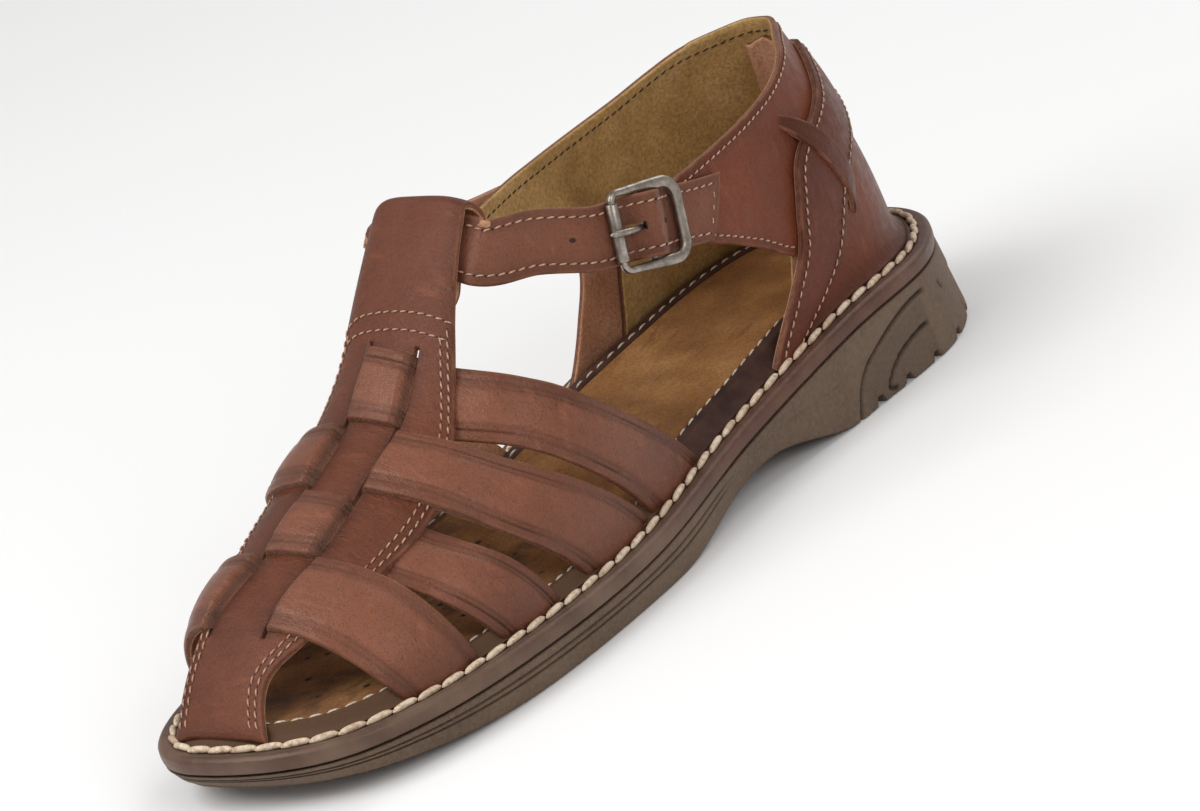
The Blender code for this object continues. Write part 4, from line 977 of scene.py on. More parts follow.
def wall(name, grid, normals, border, skins, node, kept=None, relief=0.0, painted_shade=0.0, floor_at=None):
    """Closed wall of leather; skins are the materials of its outer and inner faces. The outer face
    is the grid plus its relief, the inner face lies the leather's thickness behind, and near a
    border both close in on a quarter circle. Cells that are not kept leave a hole, and the values
    given after the relief are painted shade: they say how dark the skin is drawn."""
    near = np.clip(1.0 - border / EDGE_ROUND, 0.0, 1.0)
    closing = EDGE_ROUND * (1.0 - np.sqrt(1.0 - near**2))
    outer = grid + normals * (relief - closing)[..., None]
    inner = grid + normals * (0.6 * relief - LEATHER + closing)[..., None]
    if floor_at is not None:
        for face in (outer, inner):
            face[..., 2] = np.maximum(face[..., 2], floor_at(face))
    rows, cols = grid.shape[:2]
    if kept is None:
        kept = np.ones((rows - 1, cols - 1), bool)
    index = np.arange(rows * cols).reshape(rows, cols)
    back = rows * cols
    quads = np.stack([index[:-1, :-1], index[:-1, 1:], index[1:, 1:], index[1:, :-1]], axis=-1)
    skin = quads[kept]
    padded = np.pad(kept, 1)
    rims = []
    for k, beyond in enumerate((padded[:-2, 1:-1], padded[1:-1, 2:], padded[2:, 1:-1], padded[1:-1, :-2])):
        open_side = kept & ~beyond
        a = quads[..., k][open_side]
        b = quads[..., (k + 1) % 4][open_side]
        rims.append(np.stack([b, a, back + a, back + b], axis=-1))
    rim = np.concatenate(rims)
    faces = np.concatenate([skin, back + skin[:, ::-1], rim])
    slots = np.repeat([0, 1, 2], [len(skin), len(skin), len(rim)])
    verts = np.concatenate([outer.reshape(-1, 3), inner.reshape(-1, 3)])
    used, packed = np.unique(faces, return_inverse=True)
    values = {"border": np.tile(border.ravel(), 2)[used],
              "painted_shade": np.tile(np.broadcast_to(painted_shade, (rows, cols)).ravel(), 2)[used]}
    add_piece(name, verts[used], packed.reshape(faces.shape), [*skins, raw_edge], slots, (node,), values,
              60.0)


def row_line(grid, normals, inset, from_end=False, relief=None):
    """Line at a distance from the first or last row: each column is read at that distance."""
    outer = grid if relief is None else grid + normals * relief[..., None]
    if from_end:
        outer, normals = outer[::-1], normals[::-1]
    across = measures(outer)[0]
    level = np.clip((across < inset).sum(axis=0), 1, grid.shape[0] - 1)
    column = np.arange(grid.shape[1])
    low = across[level - 1, column]
    t = ((inset - low) / (across[level, column] - low))[:, None]
    return [values[level - 1, column] * (1 - t) + values[level, column] * t for values in (outer, normals)]


def stops(count, width):
    """Shares across a width, close together at both borders."""
    edge = np.array((0.0, 0.00008, 0.0002, 0.0004, 0.0007)) / width
    inner = np.linspace(edge[-1], 1.0 - edge[-1], count)[1:-1]
    return np.concatenate([edge, inner, 1.0 - edge[::-1]])


# Centre piece
# Long strip from the toe up the instep, doubly stitched along both edges, with two slits that the
# cross straps pass through. Its top is folded back into a loop for the ankle strap.
SLIT_WIDTH = 0.0011
LOOP_SPACE = 0.0044        # room in the loop for the ankle strap
FOLD_STATION = -0.055
LOOP_END_STATION = -0.133
LOOP_CLOSING = (-0.104, -0.130)    # stations between which the back layer meets the front one
LOOP_TUCK = 0.0048         # how much narrower the back layer is on the lateral side
FOLD_RISE = 0.30           # height of the fold as a share of the loop's depth
SLIT_STATIONS = (-0.412, -0.146)
FLANK_STOPS = stops(16, 0.017)
TONGUE_STOPS = stops(14, 0.015)
# station, then lateral edge, medial edge, lateral slit and medial slit as shares of the ball width
CENTRE = np.array([
    (-0.475, 0.110, -0.228, 0.020, -0.150),
    (-0.443, 0.073, -0.235, 0.020, -0.180),
    (-0.409, 0.140, -0.222, 0.024, -0.176),
    (-0.332, 0.228, -0.290, 0.048, -0.130),
    (-0.252, 0.263, -0.316, 0.065, -0.108),
    (-0.192, 0.225, -0.285, 0.070, -0.103),
    (-0.144, 0.171, -0.245, 0.060, -0.100),
    (-0.116, 0.146, -0.236, 0.060, -0.100),
    (-0.045, 0.112, -0.224, 0.060, -0.100),
])


def centre_edges(y):
    """Lateral edge, medial edge, lateral slit and medial slit of the centre piece at y."""
    return [curve(CENTRE, y / SOLE_LENGTH, i) * BALL_WIDTH for i in (1, 2, 3, 4)]


def last_point(y, x):
    """Point of the last at y and the side position x, and the unit step up along it there."""
    here = arch_point(y, arch_angle(y, x))
    return here, unit(arch_point(y + 0.001, arch_angle(y + 0.001, x)) - here)


def inwards(step):
    """Step turned a quarter round the X axis, into the shoe."""
    return np.stack([0.0 * step[..., 0], step[..., 2], -step[..., 1]], axis=-1)


def centre_rows(y, drop, rise, tuck):
    """Rows across the centre piece at y: three groups of columns between edges and slits. drop
    moves a row inwards, rise up along the piece, and tuck moves its lateral edge in."""
    y = np.asarray(y, float)[:, None]
    lateral, medial, slit_out, slit_in = centre_edges(y)
    lateral = lateral - np.asarray(tuck, float)[:, None]
    gap = 0.5 * SLIT_WIDTH
    x = np.concatenate([
        lateral + (slit_out + gap - lateral) * FLANK_STOPS,
        slit_out - gap + (slit_in + gap - slit_out + gap) * TONGUE_STOPS,
        slit_in - gap + (medial - slit_in + gap) * FLANK_STOPS], axis=1)
    points, along = last_point(np.broadcast_to(y, x.shape), x)
    return points + inwards(along) * np.asarray(drop)[:, None, None] + along * np.asarray(rise)[:, None, None]


def rim_floor(points):
    return rim_height(share_at(points[..., 1])) - 0.0004


def over_foot(grid):
    """Outward direction, roughly, on the forepart."""
    return grid * (0.6, 0.0, 0.0) + (0.0, -0.05, 0.06)


fold, toe_end, loop_end, slit_low, slit_high, open_end, closed_end = SOLE_LENGTH * np.array(
    (FOLD_STATION, CENTRE[0, 0], LOOP_END_STATION, *SLIT_STATIONS, *LOOP_CLOSING))
front_y = np.concatenate([np.linspace(toe_end, slit_low, 34)[:-1], np.linspace(slit_low, slit_high, 130),
                          np.linspace(slit_high, fold, 46)[1:]])
back_y = np.concatenate([np.linspace(fold, loop_end + 0.0007, 30),
                         loop_end + np.array([0.0004, 0.0002, 0.0])])
depth = LOOP_SPACE + 2.0 * GAP + 2.0 * LEATHER
bend = np.radians(np.linspace(0.0, 180.0, 16)[1:-1])
station_y = np.concatenate([front_y, np.full(len(bend), fold), back_y])
shut = ease((open_end - back_y) / (open_end - closed_end))
back_drop = depth + (2.0 * LEATHER + GAP - depth) * shut
drop = np.concatenate([0.0 * front_y, depth * 0.5 * (1.0 - np.cos(bend)), back_drop])
rise = np.concatenate([0.0 * front_y, depth * FOLD_RISE * np.sin(bend), 0.0 * back_y])
tuck = np.concatenate([0.0 * front_y, 0.0 * bend, LOOP_TUCK * ease((fold - back_y) / 0.010)])
centre_grid = centre_rows(station_y, drop, rise, tuck)
facing = np.zeros_like(centre_grid)
facing[:len(front_y)] = over_foot(centre_grid[:len(front_y)])
centre_normals = surface_normals(centre_grid, facing)
across, along = measures(centre_grid)
columns = centre_grid.shape[1]
slit_columns = len(FLANK_STOPS) - 1, len(FLANK_STOPS) + len(TONGUE_STOPS) - 1
in_slit = (station_y >= slit_low - 1e-9) & (station_y <= slit_high + 1e-9)
in_slit[len(front_y):] = False
kept = np.ones((centre_grid.shape[0] - 1, columns - 1), bool)
kept[np.ix_(in_slit[:-1] & in_slit[1:], slit_columns)] = False
slit_distance = np.min([np.abs(along - along[:, k:k + 1])
                        for first in slit_columns for k in (first, first + 1)], axis=0)
border = side_distance(along.T).T
border = np.where(in_slit[:, None], np.minimum(border, slit_distance), border)
border = np.minimum(border, side_distance(across))
# painted shade: darker in the fold of the loop and along both slits
bent = np.exp(-((np.arange(len(station_y)) - len(front_y) - 4.0) / 3.0) ** 2)[:, None]
slit_shade = np.where(in_slit[:, None], np.exp(-(slit_distance / 0.0010) ** 2), 0.0)
wall("centre_piece", centre_grid, centre_normals, border, (vamp_leather, flesh_side), "vamp", kept, 0.0,
     np.clip(0.35 * bent + 0.5 * slit_shade, 0.0, 1.0), rim_floor)


def column_line(grid, normals, inset, from_end, first, last):
    """Line at a distance from the first or last column between two rows of the grid."""
    turned = np.swapaxes(grid, 0, 1)[:, first:last]
    return row_line(turned, np.swapaxes(normals, 0, 1)[:, first:last], inset, from_end)


SEAM_STATIONS = (-0.1270, -0.1375)     # upper and lower seam at the middle of the piece
SEAM_SLANT = 0.050         # rise of the seams towards the lateral side
EDGE_SEAMS = (("outer", 0.0019), ("inner", 0.0042))
rows_to_seam = int(np.searchsorted(front_y, SEAM_STATIONS[0] * SOLE_LENGTH))
for side, from_end in (("lateral", False), ("medial", True)):
    for name, inset in EDGE_SEAMS:
        last_row = rows_to_seam if name == "outer" else rows_to_seam - 3
        path, out = column_line(centre_grid, centre_normals, inset, from_end, 3, last_row)
        stitch_row(f"centre_{side}_{name}_stitches", path, out)
for name, seam_station, margin in (("upper", SEAM_STATIONS[0], 3), ("lower", SEAM_STATIONS[1], 7)):
    column = np.arange(margin, columns - margin)
    near_row = int(np.searchsorted(front_y, seam_station * SOLE_LENGTH))
    x = centre_grid[near_row, column, 0]
    seam_row = np.interp(seam_station * SOLE_LENGTH + SEAM_SLANT * (x - x.mean()), front_y,
                         np.arange(len(front_y), dtype=float))
    whole = seam_row.astype(int)
    part = (seam_row - whole)[:, None]
    path = centre_grid[whole, column] * (1.0 - part) + centre_grid[whole + 1, column] * part
    stitch_row(f"loop_{name}_seam", path, centre_normals[whole, column])


# Cross straps
# Four straps of the same leather, sewn down at the sole on both sides and woven through the
# slits: the first and third pass over the middle of the centre piece, the others under it.
# Two lines are pressed in along each border.
WEAVE_LIFT = 0.00205
PRESS_DEPTH = 0.00045
PRESS_INSETS = (0.0028, 0.0042)    # distances of the two lines from the edge
CROSS_CROWN = 0.0011
# sign of the lift over the middle; angle up the arch, stations of the rear and the front edge
STRAPS = {
    "first": (1.0, (
        (0, 0.031, -0.055),
        (15, -0.045, -0.111),
        (35, -0.106, -0.159),
        (60, -0.144, -0.195),
        (90, -0.149, -0.202),
    )),
    "second": (-1.0, (
        (0, -0.062, -0.159),
        (15, -0.123, -0.199),
        (35, -0.171, -0.236),
        (60, -0.199, -0.259),
        (90, -0.206, -0.266),
    )),
    "third": (1.0, (
        (0, -0.199, -0.274),
        (15, -0.224, -0.296),
        (35, -0.255, -0.317),
        (60, -0.271, -0.330),
        (90, -0.273, -0.335),
    )),
    "fourth": (-1.0, (
        (0, -0.303, -0.383),
        (15, -0.313, -0.394),
        (35, -0.322, -0.401),
        (60, -0.331, -0.405),
        (90, -0.339, -0.408),
    )),
}


def weave(sign, points):
    """Height over or under the centre piece: the lift changes sign at the slits and dies out
    beyond the centre piece's edges."""
    lateral, medial, slit_out, slit_in = centre_edges(points[..., 1])
    x = points[..., 0]
    turn_over, reach = 0.0022, 0.016
    inside = (ease((x - slit_in + turn_over) / (2 * turn_over))
              * ease((slit_out + turn_over - x) / (2 * turn_over)))
    flank = ease((x - medial + reach) / reach) * ease((lateral + reach - x) / reach)
    return sign * WEAVE_LIFT * (2.0 * inside - 1.0) * flank


angle = np.concatenate([np.linspace(0.0, 40.0, 60)[:-1], np.linspace(40.0, 140.0, 230),
                        np.linspace(140.0, 180.0, 60)[1:]])
climb = 90.0 - np.abs(90.0 - angle)
for name, (sign, table) in STRAPS.items():
    rear_y, front_edge_y = (curve(np.array(table), climb, i) * SOLE_LENGTH for i in (1, 2))
    y = front_edge_y + (rear_y - front_edge_y) * stops(30, 0.020)[:, None]
    grid = arch_point(y, np.broadcast_to(angle, y.shape))
    normals = surface_normals(grid, over_foot(grid))
    across = measures(grid)[0]
    edge_distance = side_distance(across)
    pressed = (np.exp(-((edge_distance - PRESS_INSETS[0]) / 0.00038) ** 2)
               + 0.7 * np.exp(-((edge_distance - PRESS_INSETS[1]) / 0.00045) ** 2))
    relief = weave(sign, grid) + crowned(across, CROSS_CROWN) - PRESS_DEPTH * pressed
    slit_x = np.min([np.abs(grid[..., 0] - slit) for slit in centre_edges(y)[2:]], axis=0)
    # painted shade: darker in the pressed lines, at the slits and towards the sole
    painted_shade = (0.65 * pressed + 0.60 * np.exp(-(slit_x / 0.0008) ** 2)
              + 0.42 * np.exp(-(climb / 17.0) ** 2) + 0.16 * np.exp(-(slit_x / 0.0050) ** 2))
    wall(f"cross_strap_{name}", grid, normals, edge_distance, (cross_leather, flesh_side), "vamp", None,
         relief, np.clip(painted_shade, 0.0, 1.0), rim_floor)


# Quarters and heel counter
# One wrap of leather round the heel from the lateral to the medial quarter, lined with tan suede,
# cut low in front and raised to the collar behind. The collar is stitched just below its edge.
COLLAR_SEAM = 0.0022       # distance of the collar's and the quarters' seams from the edge
LINING_SEAM = 0.0034
FINE_SEAM = (0.0026, 0.0019)       # pitch and length of the seams round the counter
# top edge as station and height (share of the collar's), then the bottom edge
COUNTER = np.array([
    (0.075, 0.870, 0.075, 0.720),
    (0.135, 0.881, 0.123, 0.640),
    (0.195, 0.890, 0.168, 0.530),
    (0.250, 0.902, 0.206, 0.425),
    (0.295, 0.922, 0.232, 0.335),
    (0.335, 0.958, 0.246, 0.295),
    (0.362, 0.985, 0.216, 0.000),
    (0.385, 1.001, 0.280, 0.000),
    (0.420, 1.010, 0.370, 0.000),
    (0.500, 1.015, 0.500, 0.000),
])
QUARTER_FRONT = (0.58, 0.0)    # first row, lateral and medial
FOOT_ROW = 5.0             # row at which the quarter's bottom edge meets the heel strap
# height (share of the collar's), inset at the side, at the back and more at the corners (shares
# of the heel width)
COUNTER_WALL = np.array([
    (0.00, 0.108, 0.116, 0.000),
    (0.33, 0.086, 0.148, 0.020),
    (0.66, 0.079, 0.218, 0.045),
    (1.00, 0.110, 0.298, 0.088),
])
FOOT_FLARE = 0.0026        # how far the leather turns out at its foot
FLARE_HEIGHT = 0.0020
CORNER_TURN = 38.0         # turn in degrees at which the corners lie
CORNER_REACH = 18.0        # degrees over which a corner fades
BACK_TURN = 62.0           # turn at which the back of the wall ends
QUARTER_PULL = 0.0022      # how far the quarters' front lies further in
PULL_STATIONS = (0.060, 0.160)


def wall_point(turn, height, offset=0.0):
    """Counter's face: turn in degrees round the outline (0 at the back, lateral positive), height
    above the heel rim, offset outwards."""
    turn = np.asarray(turn, float)
    side = np.where(turn >= 0.0, 1, -1)
    angle = np.radians(np.abs(turn))
    share = 0.5 * (1.0 - np.cos(angle))

    def rim_at(a):
        s = 0.5 * (1.0 - np.cos(a))
        wide = np.where(side > 0, half_width(s, 1), half_width(s, -1))
        return np.stack([wide, SOLE_LENGTH * (0.5 - s)], axis=-1)

    step = 0.01
    here = rim_at(angle)
    along = rim_at(angle + step) - rim_at(np.maximum(angle - step, 0.0))
    along[..., 1] = np.where(angle < step, 0.0, along[..., 1])
    along = unit(along)
    inward = np.stack([along[..., 1], -along[..., 0]], axis=-1)
    level = np.clip(height / COLLAR_HEIGHT, 0.0, 1.05)
    flat = curve(COUNTER_WALL, level, 1)
    rear = curve(COUNTER_WALL, level, 2)
    corner = curve(COUNTER_WALL, level, 3) * np.exp(-((np.degrees(angle) - CORNER_TURN) / CORNER_REACH) ** 2)
    blend_back = ease(1.0 - angle / np.radians(BACK_TURN))
    near, far = PULL_STATIONS
    pull = QUARTER_PULL * ease((far - 0.5 + share) / (far - near))
    inset = HEEL_WIDTH * (flat + (rear - flat) * blend_back + corner) + pull - offset
    plan = here + inward * inset[..., None]
    rim = rim_height(share)
    base = rim + GAP + (height / COLLAR_HEIGHT) * (HEEL_HEIGHT - rim)
    return np.stack([plan[..., 0] * side, plan[..., 1], base + height], axis=-1)


def turn_of(station):
    return np.degrees(np.arccos(np.clip(2.0 * np.asarray(station, float), -1.0, 1.0)))


def from_heel(grid):
    facing = grid.copy()
    facing[..., 1] = np.maximum(grid[..., 1] - 0.25 * SOLE_LENGTH, 0.0)
    facing[..., 2] = 0.0
    return facing


knots = np.arange(len(COUNTER), dtype=float)
back_row = knots[-1]
rows = [np.concatenate([np.linspace(start, FOOT_ROW, 90), np.linspace(FOOT_ROW, 7.0, 60)[1:],
                        np.linspace(7.0, back_row, 70)[1:-1]]) for start in QUARTER_FRONT]
row = np.concatenate([rows[0], [back_row], rows[1][::-1]])
side = np.repeat([1.0, -1.0], [len(rows[0]) + 1, len(rows[1])])
top_table = np.column_stack([knots, turn_of(COUNTER[:, 0]), COUNTER[:, 1]])
top_turn, top = curve(top_table, row, 1), curve(top_table, row, 2) * COLLAR_HEIGHT
low_turn = np.interp(row, knots, turn_of(COUNTER[:, 2]))
low = np.interp(row, knots, COUNTER[:, 3]) * COLLAR_HEIGHT
share = stops(46, 0.050)[:, None]
level = low + (top - low) * share
counter_grid = wall_point(side * (low_turn + (top_turn - low_turn) * share), level)
counter_normals = surface_normals(counter_grid, from_heel(counter_grid))
lining = suede_material("lining_suede", (0.230, 0.125, 0.038), (0.430, 0.260, 0.095), (0.600, 0.400, 0.180),
                        110.0)
flare = FOOT_FLARE * np.exp(-(np.maximum(level, 0.0) / FLARE_HEIGHT) ** 1.3)
# painted shade: the counter is drawn darker towards its foot
foot_shade = 0.35 * np.exp(-(level / 0.006) ** 2)
wall("counter_wrap", counter_grid, counter_normals, border_distance(counter_grid),
     (counter_leather, lining), "counter", None, flare, foot_shade, rim_floor)
path, out = row_line(counter_grid, counter_normals, COLLAR_SEAM, True)
stitch_row("collar_stitches", path, out, *FINE_SEAM)
path, out = row_line(counter_grid, counter_normals, LINING_SEAM, True)
stitch_row("lining_stitches", path - out * LEATHER, -out, *FINE_SEAM, 0.00022, hole_shade_and_dark_thread, holes=False)
for name, first, last in (("lateral", 3, 88), ("medial", len(row) - 88, len(row) - 3)):
    path, out = row_line(counter_grid[:, first:last], counter_normals[:, first:last], COLLAR_SEAM)
    stitch_row(f"quarter_{name}_stitches", path, out, *FINE_SEAM)


# Heel strap
# Strap sewn to the sole on both sides. It climbs over the counter, passes under a bridge of the
# counter's leather and dives through a slit to run inside behind the heel.
# share of the way up, then turn in degrees and height (share of the collar's) of the front and of
# the rear edge
HEEL_STRAP = np.array([
    (0.000, 70.5, 0.000, 65.5, 0.000),
    (0.111, 67.0, 0.100, 61.0, 0.035),
    (0.222, 63.6, 0.200, 56.8, 0.090),
    (0.333, 60.1, 0.315, 52.4, 0.185),
    (0.444, 58.0, 0.480, 49.4, 0.300),
    (0.556, 55.0, 0.640, 46.5, 0.390),
    (0.667, 48.0, 0.730, 41.0, 0.470),
    (0.778, 36.0, 0.820, 31.0, 0.550),
    (0.889, 20.0, 0.900, 17.0, 0.630),
    (1.000, 0.0, 0.940, 0.0, 0.655),
])
# share of the way up, turn added to the front and the rear edge of the medial leg
MEDIAL_LEG = np.array([
    (0.000, 4.2, -0.3),
    (0.111, 4.6, 1.5),
    (0.222, 5.5, 4.5),
    (0.333, 6.5, 6.0),
    (0.444, 6.5, 6.0),
    (0.556, 4.5, 4.5),
    (0.667, 2.0, 2.0),
    (0.778, 0.5, 0.5),
    (0.889, 0.0, 0.0),
    (1.000, 0.0, 0.0),
])
MEDIAL_BRIDGE = 4.0        # degrees by which the medial bridge lies further forward
HEEL_SLIT_TURN = 19.0
STRAP_LIFT = 0.0021
STRAP_SEAM = 0.0024        # distance of a strap's seams from its edges
HEEL_CROWN = 0.0005

along = np.linspace(0.0, 1.0, 150)
front_turn, front_height, rear_turn, rear_height = (curve(HEEL_STRAP, along, i) for i in (1, 2, 3, 4))
share = stops(26, 0.019)[:, None]
turn = rear_turn + (front_turn - rear_turn) * share
height = (rear_height + (front_height - rear_height) * share) * COLLAR_HEIGHT
more = curve(MEDIAL_LEG, along, 2) + (curve(MEDIAL_LEG, along, 1) - curve(MEDIAL_LEG, along, 2)) * share
turn = np.concatenate([turn, -(turn + more)[:, -2::-1]], axis=1)
height = np.concatenate([height, height[:, -2::-1]], axis=1)
lift = STRAP_LIFT * (1.0 - 2.0 * ease((HEEL_SLIT_TURN + 1.5 - np.abs(turn)) / 3.0))
heel_grid = wall_point(turn, height, lift)
heel_normals = surface_normals(heel_grid, from_heel(heel_grid))
across = measures(heel_grid)[0]
crown = crowned(across, HEEL_CROWN) + 0.4 * FOOT_FLARE * np.exp(-(height / FLARE_HEIGHT) ** 1.3)
wall("heel_strap", heel_grid, heel_normals, side_distance(across), (heel_leather, flesh_side), "counter",
     None, crown, 0.0, rim_floor)
for name, from_end in (("rear", False), ("front", True)):
    path, out = row_line(heel_grid, heel_normals, STRAP_SEAM, from_end, crown)
    stitch_row(f"heel_strap_{name}_stitches", path[3:-3], out[3:-3])

# Bridges over the heel strap
# On each side a tongue of the counter's leather between two slits, which the strap passes under.
BRIDGE_RISE = 0.0042
BRIDGE_DROP = 0.0006       # how far its ends dip below the counter's face
# share of the way down, turn in degrees, height and half width (shares of the collar's height)
BRIDGE = np.array([
    (0.00, 55.0, 0.800, 0.025),
    (0.25, 51.8, 0.700, 0.045),
    (0.50, 48.5, 0.560, 0.060),
    (0.75, 46.0, 0.405, 0.064),
    (1.00, 44.8, 0.300, 0.064),
])
along = np.linspace(0.0, 1.0, 60)
share = (2.0 * stops(14, 0.008) - 1.0)[:, None]
middle_turn, height, half = (curve(BRIDGE, along, i) for i in (1, 2, 3))
half = half * COLLAR_HEIGHT
level = height * COLLAR_HEIGHT + share * half * 0.8
lift = np.broadcast_to(BRIDGE_RISE * np.sin(np.pi * along) ** 0.6 - BRIDGE_DROP, level.shape)
for side, name, moved in ((1.0, "lateral", 0.0), (-1.0, "medial", MEDIAL_BRIDGE)):
    around = side * (middle_turn + moved) - side * share * np.degrees(half / SOLE_LENGTH * 1.6)
    grid = wall_point(around, level, lift)
    wall(f"heel_bridge_{name}", grid, surface_normals(grid, from_heel(grid)),
         side_distance(measures(grid)[0]), (heel_leather, flesh_side), "counter", floor_at=rim_floor)


# Ankle strap
# One long strap from the medial quarter through the loop and the buckle to its slanted free end,
# stitched along both edges. It bulges over the buckle's hidden hinge bar.
ANKLE_STRAP_WIDTH = 0.0166
BUCKLE_LENGTH = 0.0235
BUCKLE_STATION = 0.070
STRAP_CUP = 0.00035        # rise of the strap's middle over its edges
WIRE = 0.0022
ROLLER_RADIUS = 0.0017
PIN_RADIUS = 0.0009
HINGE_RADIUS = 0.0010
PRONG_RADIUS = 0.0007
BUCKLE_SLACK = 0.0006
FRAME_CORNERS = (0.0022, 0.0042)
HINGE_DROP = 0.0007
TIP_SLANT = 0.0085         # how much longer one side of the free end is
HOLE_FROM = 0.0068
HOLE_TO = 0.0026
HOLE_WIDTH = 0.0030
LOOP_CROSSING = -0.0790
LOOP_LEAN = 0.0003
SIDE_LEAN = 88.0
SIDE_TILT = 0.13           # how far the strap's top leans in over the lateral quarter
SPARE_HOLES = (-0.0226, 0.0030)    # middles of the other holes, from the middle of the buckle
INSTEP_CROSSING = ((-0.310, -0.0290, 0.952, 66.0), (0.362, -0.0290, 0.952, 66.0))
# station, then for the medial and for the lateral side: height (share of the collar's) and
# distance from the counter's face (share of the leather)
ANKLE_STRAP = (
    (0.028, 0.865, 0.20, 0.868, -0.95),
    (0.060, 0.815, 1.20, 0.838, 0.35),
    (0.100, 0.775, 1.30, 0.787, 1.30),
    (0.140, 0.740, 1.30, 0.733, 1.30),
    (0.172, 0.712, 1.30, 0.695, 1.30),
)


def strap_line():
    """Points of the strap's middle with the lean of its width: along the medial quarter, through
    the loop behind the front layer, and along the lateral quarter."""
    y = LOOP_CROSSING * SOLE_LENGTH
    inside = LEATHER + 0.5 * (LOOP_SPACE + 2.0 * GAP - LEATHER)
    lateral, medial, _, _ = centre_edges(np.array([y]))
    middle = 0.5 * float(lateral[0] + medial[0])
    share = np.linspace(0.0, 1.0, 6)
    here, run = last_point(np.full(6, y), medial[0] + (lateral[0] - medial[0]) * share)
    loop = here + inwards(run) * (inside - LOOP_LEAN * (1.0 - share))[:, None]
    loop = np.column_stack([loop, np.degrees(np.arctan2(run[:, 2], run[:, 1]))])
    loop = np.vstack([loop[0] * 1.4 - loop[1] * 0.4, loop, loop[-1] * 1.4 - loop[-2] * 0.4])
    sides = []
    for sign, (over, station, height, lean) in zip((-1.0, 1.0), INSTEP_CROSSING):
        rows = [(middle + over * HEEL_WIDTH, station * SOLE_LENGTH, HEEL_HEIGHT + height * COLLAR_HEIGHT,
                 lean)]
        first = 1 if sign < 0.0 else 3
        for values in ANKLE_STRAP:
            height, offset = values[first:first + 2]
            point = wall_point(sign * turn_of(values[0]), height * COLLAR_HEIGHT, offset * LEATHER)
            rows.append((*point, SIDE_LEAN))
        sides.append(rows)
    return np.vstack([sides[0][::-1], loop, sides[1]])


STRAP_LINE = strap_line()
STRAP_KNOTS = run_length(STRAP_LINE[:, :3])
STRAP_TABLE = np.column_stack([STRAP_KNOTS, STRAP_LINE])


def strap_course(along):
    """Middle of the strap's outer face at distances along it, with the directions of its run, of
    its width and outwards."""
    path, ahead, behind = (np.stack([curve(STRAP_TABLE, along + shift, i) for i in (1, 2, 3)], axis=-1)
                           for shift in (0.0, 0.0005, -0.0005))
    lean = np.radians(curve(STRAP_TABLE, along, 4))
    run = unit(ahead - behind)
    tilt = -SIDE_TILT * ease((path[..., 0] - 0.012) / 0.012)
    width = np.stack([tilt, np.cos(lean), np.sin(lean)], axis=-1)
    width = unit(width - run * np.sum(width * run, axis=-1, keepdims=True))
    return path, run, width, np.cross(run, width)


strap_length = STRAP_KNOTS[-1]
search = np.linspace(0.5 * strap_length, strap_length, 400)
middle = float(np.interp(BUCKLE_STATION * SOLE_LENGTH, strap_course(search)[0][:, 1], search))
reach = 0.5 * (BUCKLE_LENGTH - WIRE)
high = 0.5 * (ANKLE_STRAP_WIDTH + WIRE) + BUCKLE_SLACK


def bulge(along):
    """Rise of the strap over the hinge bar between the frame's end bars: a raised cosine squared."""
    arch = reach - ROLLER_RADIUS
    rise = 2.0 * HINGE_RADIUS + ROLLER_RADIUS - HINGE_DROP + LEATHER + 3.0 * GAP
    return rise * np.cos(0.5 * np.pi * np.clip((along - middle) / arch, -1.0, 1.0)) ** 2


hole_from = middle - HOLE_FROM
hole_to = middle - HOLE_TO
along = np.concatenate([
    [0.0, 0.0001, 0.0002, 0.0004], np.linspace(0.0007, hole_from - 0.0012, 250),
    hole_from + np.array([-0.0008, -0.0004, 0.0]), np.linspace(hole_from, hole_to, 8)[1:],
    hole_to + np.array([0.0004, 0.0008]), np.linspace(hole_to + 0.0012, strap_length - 0.0007, 90),
    strap_length - np.array([0.0004, 0.0002, 0.0001, 0.0])])
half_hole = 0.36 * HOLE_WIDTH / ANKLE_STRAP_WIDTH
side_stops = stops(22, ANKLE_STRAP_WIDTH) - 0.5
lower = side_stops[side_stops < -half_hole - 0.02]
beside = np.array([-half_hole - 0.012, -half_hole, half_hole, half_hole + 0.012])
share = np.concatenate([lower, beside, -lower[::-1]])[:, None]
rest = np.clip((along - middle - reach) / (strap_length - middle - reach), 0.0, 1.0)
path, run, width, out = strap_course(along + (share - 0.5) * TIP_SLANT * rest)
strap_grid = path + width * (share * ANKLE_STRAP_WIDTH)[..., None] + out * bulge(along)[None, :, None]
strap_facing = strap_grid.copy()
strap_facing[..., 1] = np.minimum(strap_grid[..., 1], 0.0) * 2.0
strap_facing[..., 2] = 0.0
strap_normals = surface_normals(strap_grid, strap_facing)
kept = np.ones((len(share) - 1, len(along) - 1), bool)
hole_row = len(lower) + 1
hole_columns = (along[:-1] >= hole_from - 1e-7) & (along[1:] <= hole_to + 1e-7)
kept[hole_row, hole_columns] = False
cup = crowned(measures(strap_grid)[0], STRAP_CUP)
wall("ankle_strap_leather", strap_grid, strap_normals, border_distance(strap_grid),
     (strap_leather, flesh_side), "ankle_strap", kept, cup)
tip_column = int(np.searchsorted(along, strap_length - 0.0030))
for name, from_end in (("lower", False), ("upper", True)):
    path, out = row_line(strap_grid, strap_normals, STRAP_SEAM, from_end, cup)
    stitch_row(f"ankle_strap_{name}_stitches", path[4:tip_column], out[4:tip_column])
tip_rows = slice(8, len(share) - 8)
stitch_row("ankle_strap_tip_stitches", strap_grid[tip_rows, tip_column], strap_normals[tip_rows, tip_column])
